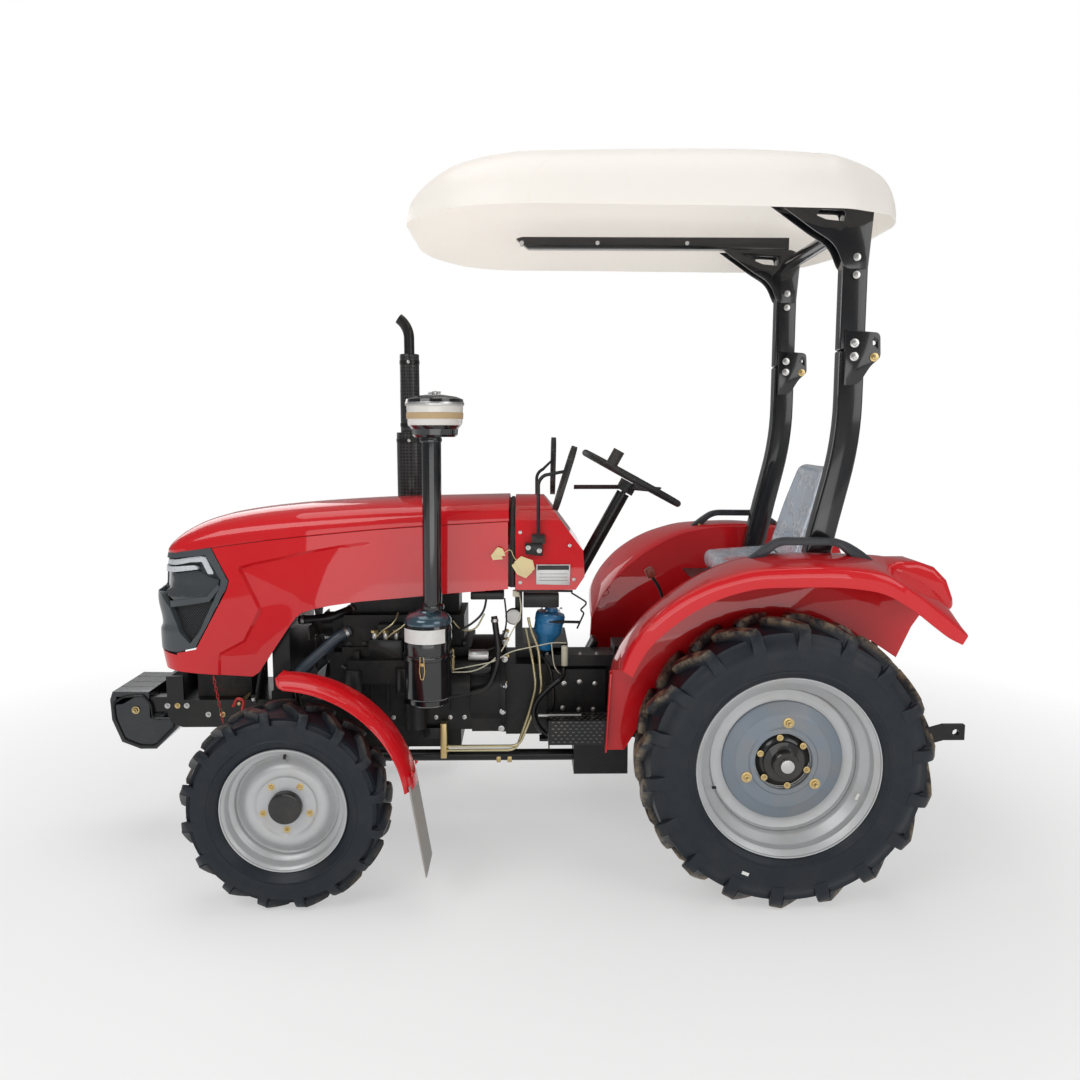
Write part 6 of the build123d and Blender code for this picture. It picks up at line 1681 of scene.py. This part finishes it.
# round pieces: ends (ahead, y, z), radius, finish, sides, eased edge
ROUND_PIECES = (
    ((1010, -178, 644), (905, -178, 644), 34, ENAMEL, 32, 4),       # starter
    ((985, -200, 692), (915, -200, 692), 19, SILVERY, 24, 3),       # its solenoid
    ((1030, -178, 644), (1010, -178, 644), 26, CAST, 32, 3),        # its nose
    *((((1310 - 38 * n, -165, 740), (1310 - 38 * n, -165, 764), 10, SILVERY, 16, 2))
      for n in range(3)),                                           # injection pump's unions
    *((((1310 - 38 * n, -165, 764), (1310 - 38 * n, -165, 772), 13, BRASS, 6, 0))
      for n in range(3)),                                           # their nuts
    ((1200, -190, 560), (1200, -190, 650), 38, ENAMEL, 32, 4),      # oil filter
    ((1380, -176, 560), (1380, -176, 640), 34, CAST, 32, 4),        # fuel filter
    ((830, -146, 816), (830, -158, 816), 26, GAUGE, 32, 3),         # gauge
    ((830, -140, 816), (830, -156, 816), 29, ENAMEL, 32, 3),        # its case
    ((652, -150, 640), (652, -150, 711), 12, WIRE, 20, 2),          # dipstick's grip
)
for start, end, radius, slot, sides, edge in ROUND_PIECES:
    rod(bm, spot(*start), spot(*end), radius / 1000, slot, sides, edge / 1000)
# boxes: two corners (ahead, y, z), eased edge, finish
BOXES = (
    ((1330, -184, 660), (1210, -138, 742), 6, ENAMEL),              # injection pump
    ((832, -214, 896), (810, -190, 918), 3, WIRE),                  # connector
    ((976, -200, 884), (862, -140, 911), 4, ENAMEL),                # shelf under the hood's rear
    ((796, -200, 856), (674, -140, 905), 4, ENAMEL),                # shelf under the cowl
)
for low, high, edge, slot in BOXES:
    slab(bm, spot(*low), spot(*high), edge / 1000, slot)
# bolted covers: rocker cover ribs, pan flange, flywheel housing, gearbox cover
for number in range(9):
    ahead = 1405 - number * 50
    bolt(bm, spot(ahead, -139, 452), (0, -1, 0), 0.008, SILVERY, length=0.004)
    bolt(bm, spot(ahead, -139, 716), (0, -1, 0), 0.009, ENAMEL, length=0.004)
for number in range(7):
    ahead = 1390 - number * 56
    slab(bm, spot(ahead, -145, 480), spot(ahead - 9, -136, 690), 0.002, CAST)
for ahead, z in ((860, 757), (860, 728), (861, 669), (864, 574), (869, 482), (874, 420)):
    bolt(bm, spot(ahead, -171, z), (0, -1, 0), 0.011, SILVERY, length=0.006)
    bolt(bm, spot(ahead - 6, -120, z), (-0.2, -1, 0), 0.009, BRASS, length=0.004)
for ahead, z in ((654, 580), (546, 579), (659, 492), (551, 487), (600, 585), (602, 486)):
    bolt(bm, spot(ahead, -165.5, z), (0, -1, 0), 0.009, SILVERY, length=0.003)
for ahead in (713, 655, 597, 539):
    bolt(bm, spot(ahead, -140, 678), (0, 0, 1), 0.009, SILVERY, length=0.003)
# drive shaft clamps
for ahead in (885, 846):
    rod(bm, spot(ahead + 8, -125, 302), spot(ahead - 8, -125, 302), 0.021, BRASS, 24, 0.002)
# fan belt round the crank and fan pulleys
tube(bm, [spot(1450, 0, 470), spot(1450, -62, 545), spot(1450, -40, 745), spot(1450, 0, 782),
          spot(1450, 40, 745), spot(1450, 62, 545), spot(1450, 0, 470)], 0.005, HOSE, 8, 0.04)
add_object("engine_fittings", bm, "chassis", ENGINE_PAINTS, sharp=35.0)

# ---- mirrors, platform and controls ----
# The mirrors' bent tube arms carry moulded heads and are clamped to the cowl. The step has
# raised tread studs, and the levers end in moulded knobs.
knob_red = finish("knob_red", (0.22, 0.03, 0.015), 0.35, coat=0.4)
tread_top = finish("tread_top", (0.1, 0.105, 0.11), 0.5, metallic=0.3, grime=0.45)
MIRROR_AHEAD = 0.055         # the arms are clamped this far ahead of their node's place
bm = bmesh.new()
bm.from_mesh(nodes["mirrors"].data)
for face in bm.faces:
    face.material_index = 0
bmesh.ops.translate(bm, verts=bm.verts, vec=(-MIRROR_AHEAD, 0.0, 0.0))
# each head turns on its arm: lean found and lean wanted (degrees), shift back and up
HEAD_LENGTH = 0.205
for side, found, wanted, shift in ((-1, 12.5, -16.0, (-0.01, 0.0, -0.022)),
                                   (1, 12.5, 0.0, (-0.034, 0.0, 0.0))):
    own = [vert for vert in bm.verts if vert.co.y * side > 0]
    top_z = max(vert.co.z for vert in own)
    top = [vert.co for vert in own if vert.co.z > top_z - 0.01]
    down = Vector((math.sin(math.radians(found)), 0.0, -math.cos(math.radians(found))))
    middle = sum(top, Vector()) / len(top) + down * HEAD_LENGTH / 2
    across = Vector((down.z, 0.0, -down.x))
    head = [vert for vert in own if abs((vert.co - middle).dot(across)) < 0.028
            and abs((vert.co - middle).dot(down)) < HEAD_LENGTH / 2 + 0.03]
    bmesh.ops.rotate(bm, verts=head, cent=middle,
                     matrix=Matrix.Rotation(math.radians(found - wanted), 3, "Y"))
    bmesh.ops.translate(bm, verts=head, vec=shift)
add_object("mirrors_and_arms", bm, "chassis", [dark_plastic], ("mirrors",), sharp=35.0)
TREAD, LEVER, KNOB = range(3)
STUD_EDGE = 0.0008
bm = bmesh.new()
# tread studs on the outer step and on the floor
for row in range(7):
    for column in range(9):
        ahead = 700 - column * 19 - (row % 2) * 9
        z = 520 - row * 11
        if z < 452:
            continue
        slab(bm, spot(ahead + 4, -411.5, z - 2), spot(ahead - 4, -409.5, z + 2), STUD_EDGE, TREAD)
for row in range(11):
    for column in range(18):
        ahead = 700 - column * 21 - (row % 2) * 10
        y = -390 + row * 21
        slab(bm, spot(ahead + 5, y - 2, 473), spot(ahead - 5, y + 2, 476), STUD_EDGE, TREAD)
# lever beside the seat with its knob
tube(bm, [spot(297, -60, 861), spot(312, -60, 905), spot(340, -60, 945)], 0.006, LEVER, 12)
rod(bm, spot(336, -60, 938), spot(352, -60, 972), 0.016, KNOB, 24, 0.006)
# pedals: the left arm bends down outside the gearbox, the right ones stand on the floor
tube(bm, [spot(*place) for place in (
    (655, -130, 630), (662, -236, 622), (701, -236, 592), (750, -236, 542), (764, -236, 502),
    (750, -236, 451), (710, -236, 411))], 0.0095, LEVER, 14, 0.03)
slab(bm, spot(742, -262, 404), spot(682, -212, 414), 0.003, LEVER)
for y in (150, 205):
    tube(bm, [spot(640, y - 30, 500), spot(600, y, 560), spot(548, y, 606)], 0.008, LEVER, 12)
    plate(bm, ((586, 560), (564, 560), (509, 655), (531, 667)), y - 22, y + 22, 3, LEVER)
add_object("treads_and_levers", bm, "chassis", [tread_top, frame_black, knob_red],
           ("pedals_and_levers",), sharp=40.0)

# ---- grab handles ----
# Broad moulded handles of dark grey plastic, one on each fender, that taper into their feet.
handle_grey = finish("handle_grey", (0.03, 0.036, 0.044), 0.4, coat=0.2, grime=0.04, grain=0.3)
HANDLE = ((104, 1064, 6), (58, 1100, 20), (22, 1124, 20), (-10, 1131, 16), (-160, 1130, 16),
          (-196, 1120, 20), (-240, 1094, 20), (-280, 1062, 6), (-226, 1060, 6), (-182, 1098, 20),
          (-150, 1108, 16), (-2, 1109, 16), (24, 1100, 16), (52, 1074, 14), (62, 1064, 4))
HANDLE_WIDTH = 38
handle_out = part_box("grab_handles")[1][1] * 1000
bm = bmesh.new()
for side in (-1, 1):
    plate(bm, eased(HANDLE), side * (handle_out - HANDLE_WIDTH), side * handle_out, 8, 0,
          segments=4)
handles = add_object("grab_handles_moulded", bm, "chassis", [handle_grey], ("grab_handles",),
                     sharp=40.0)
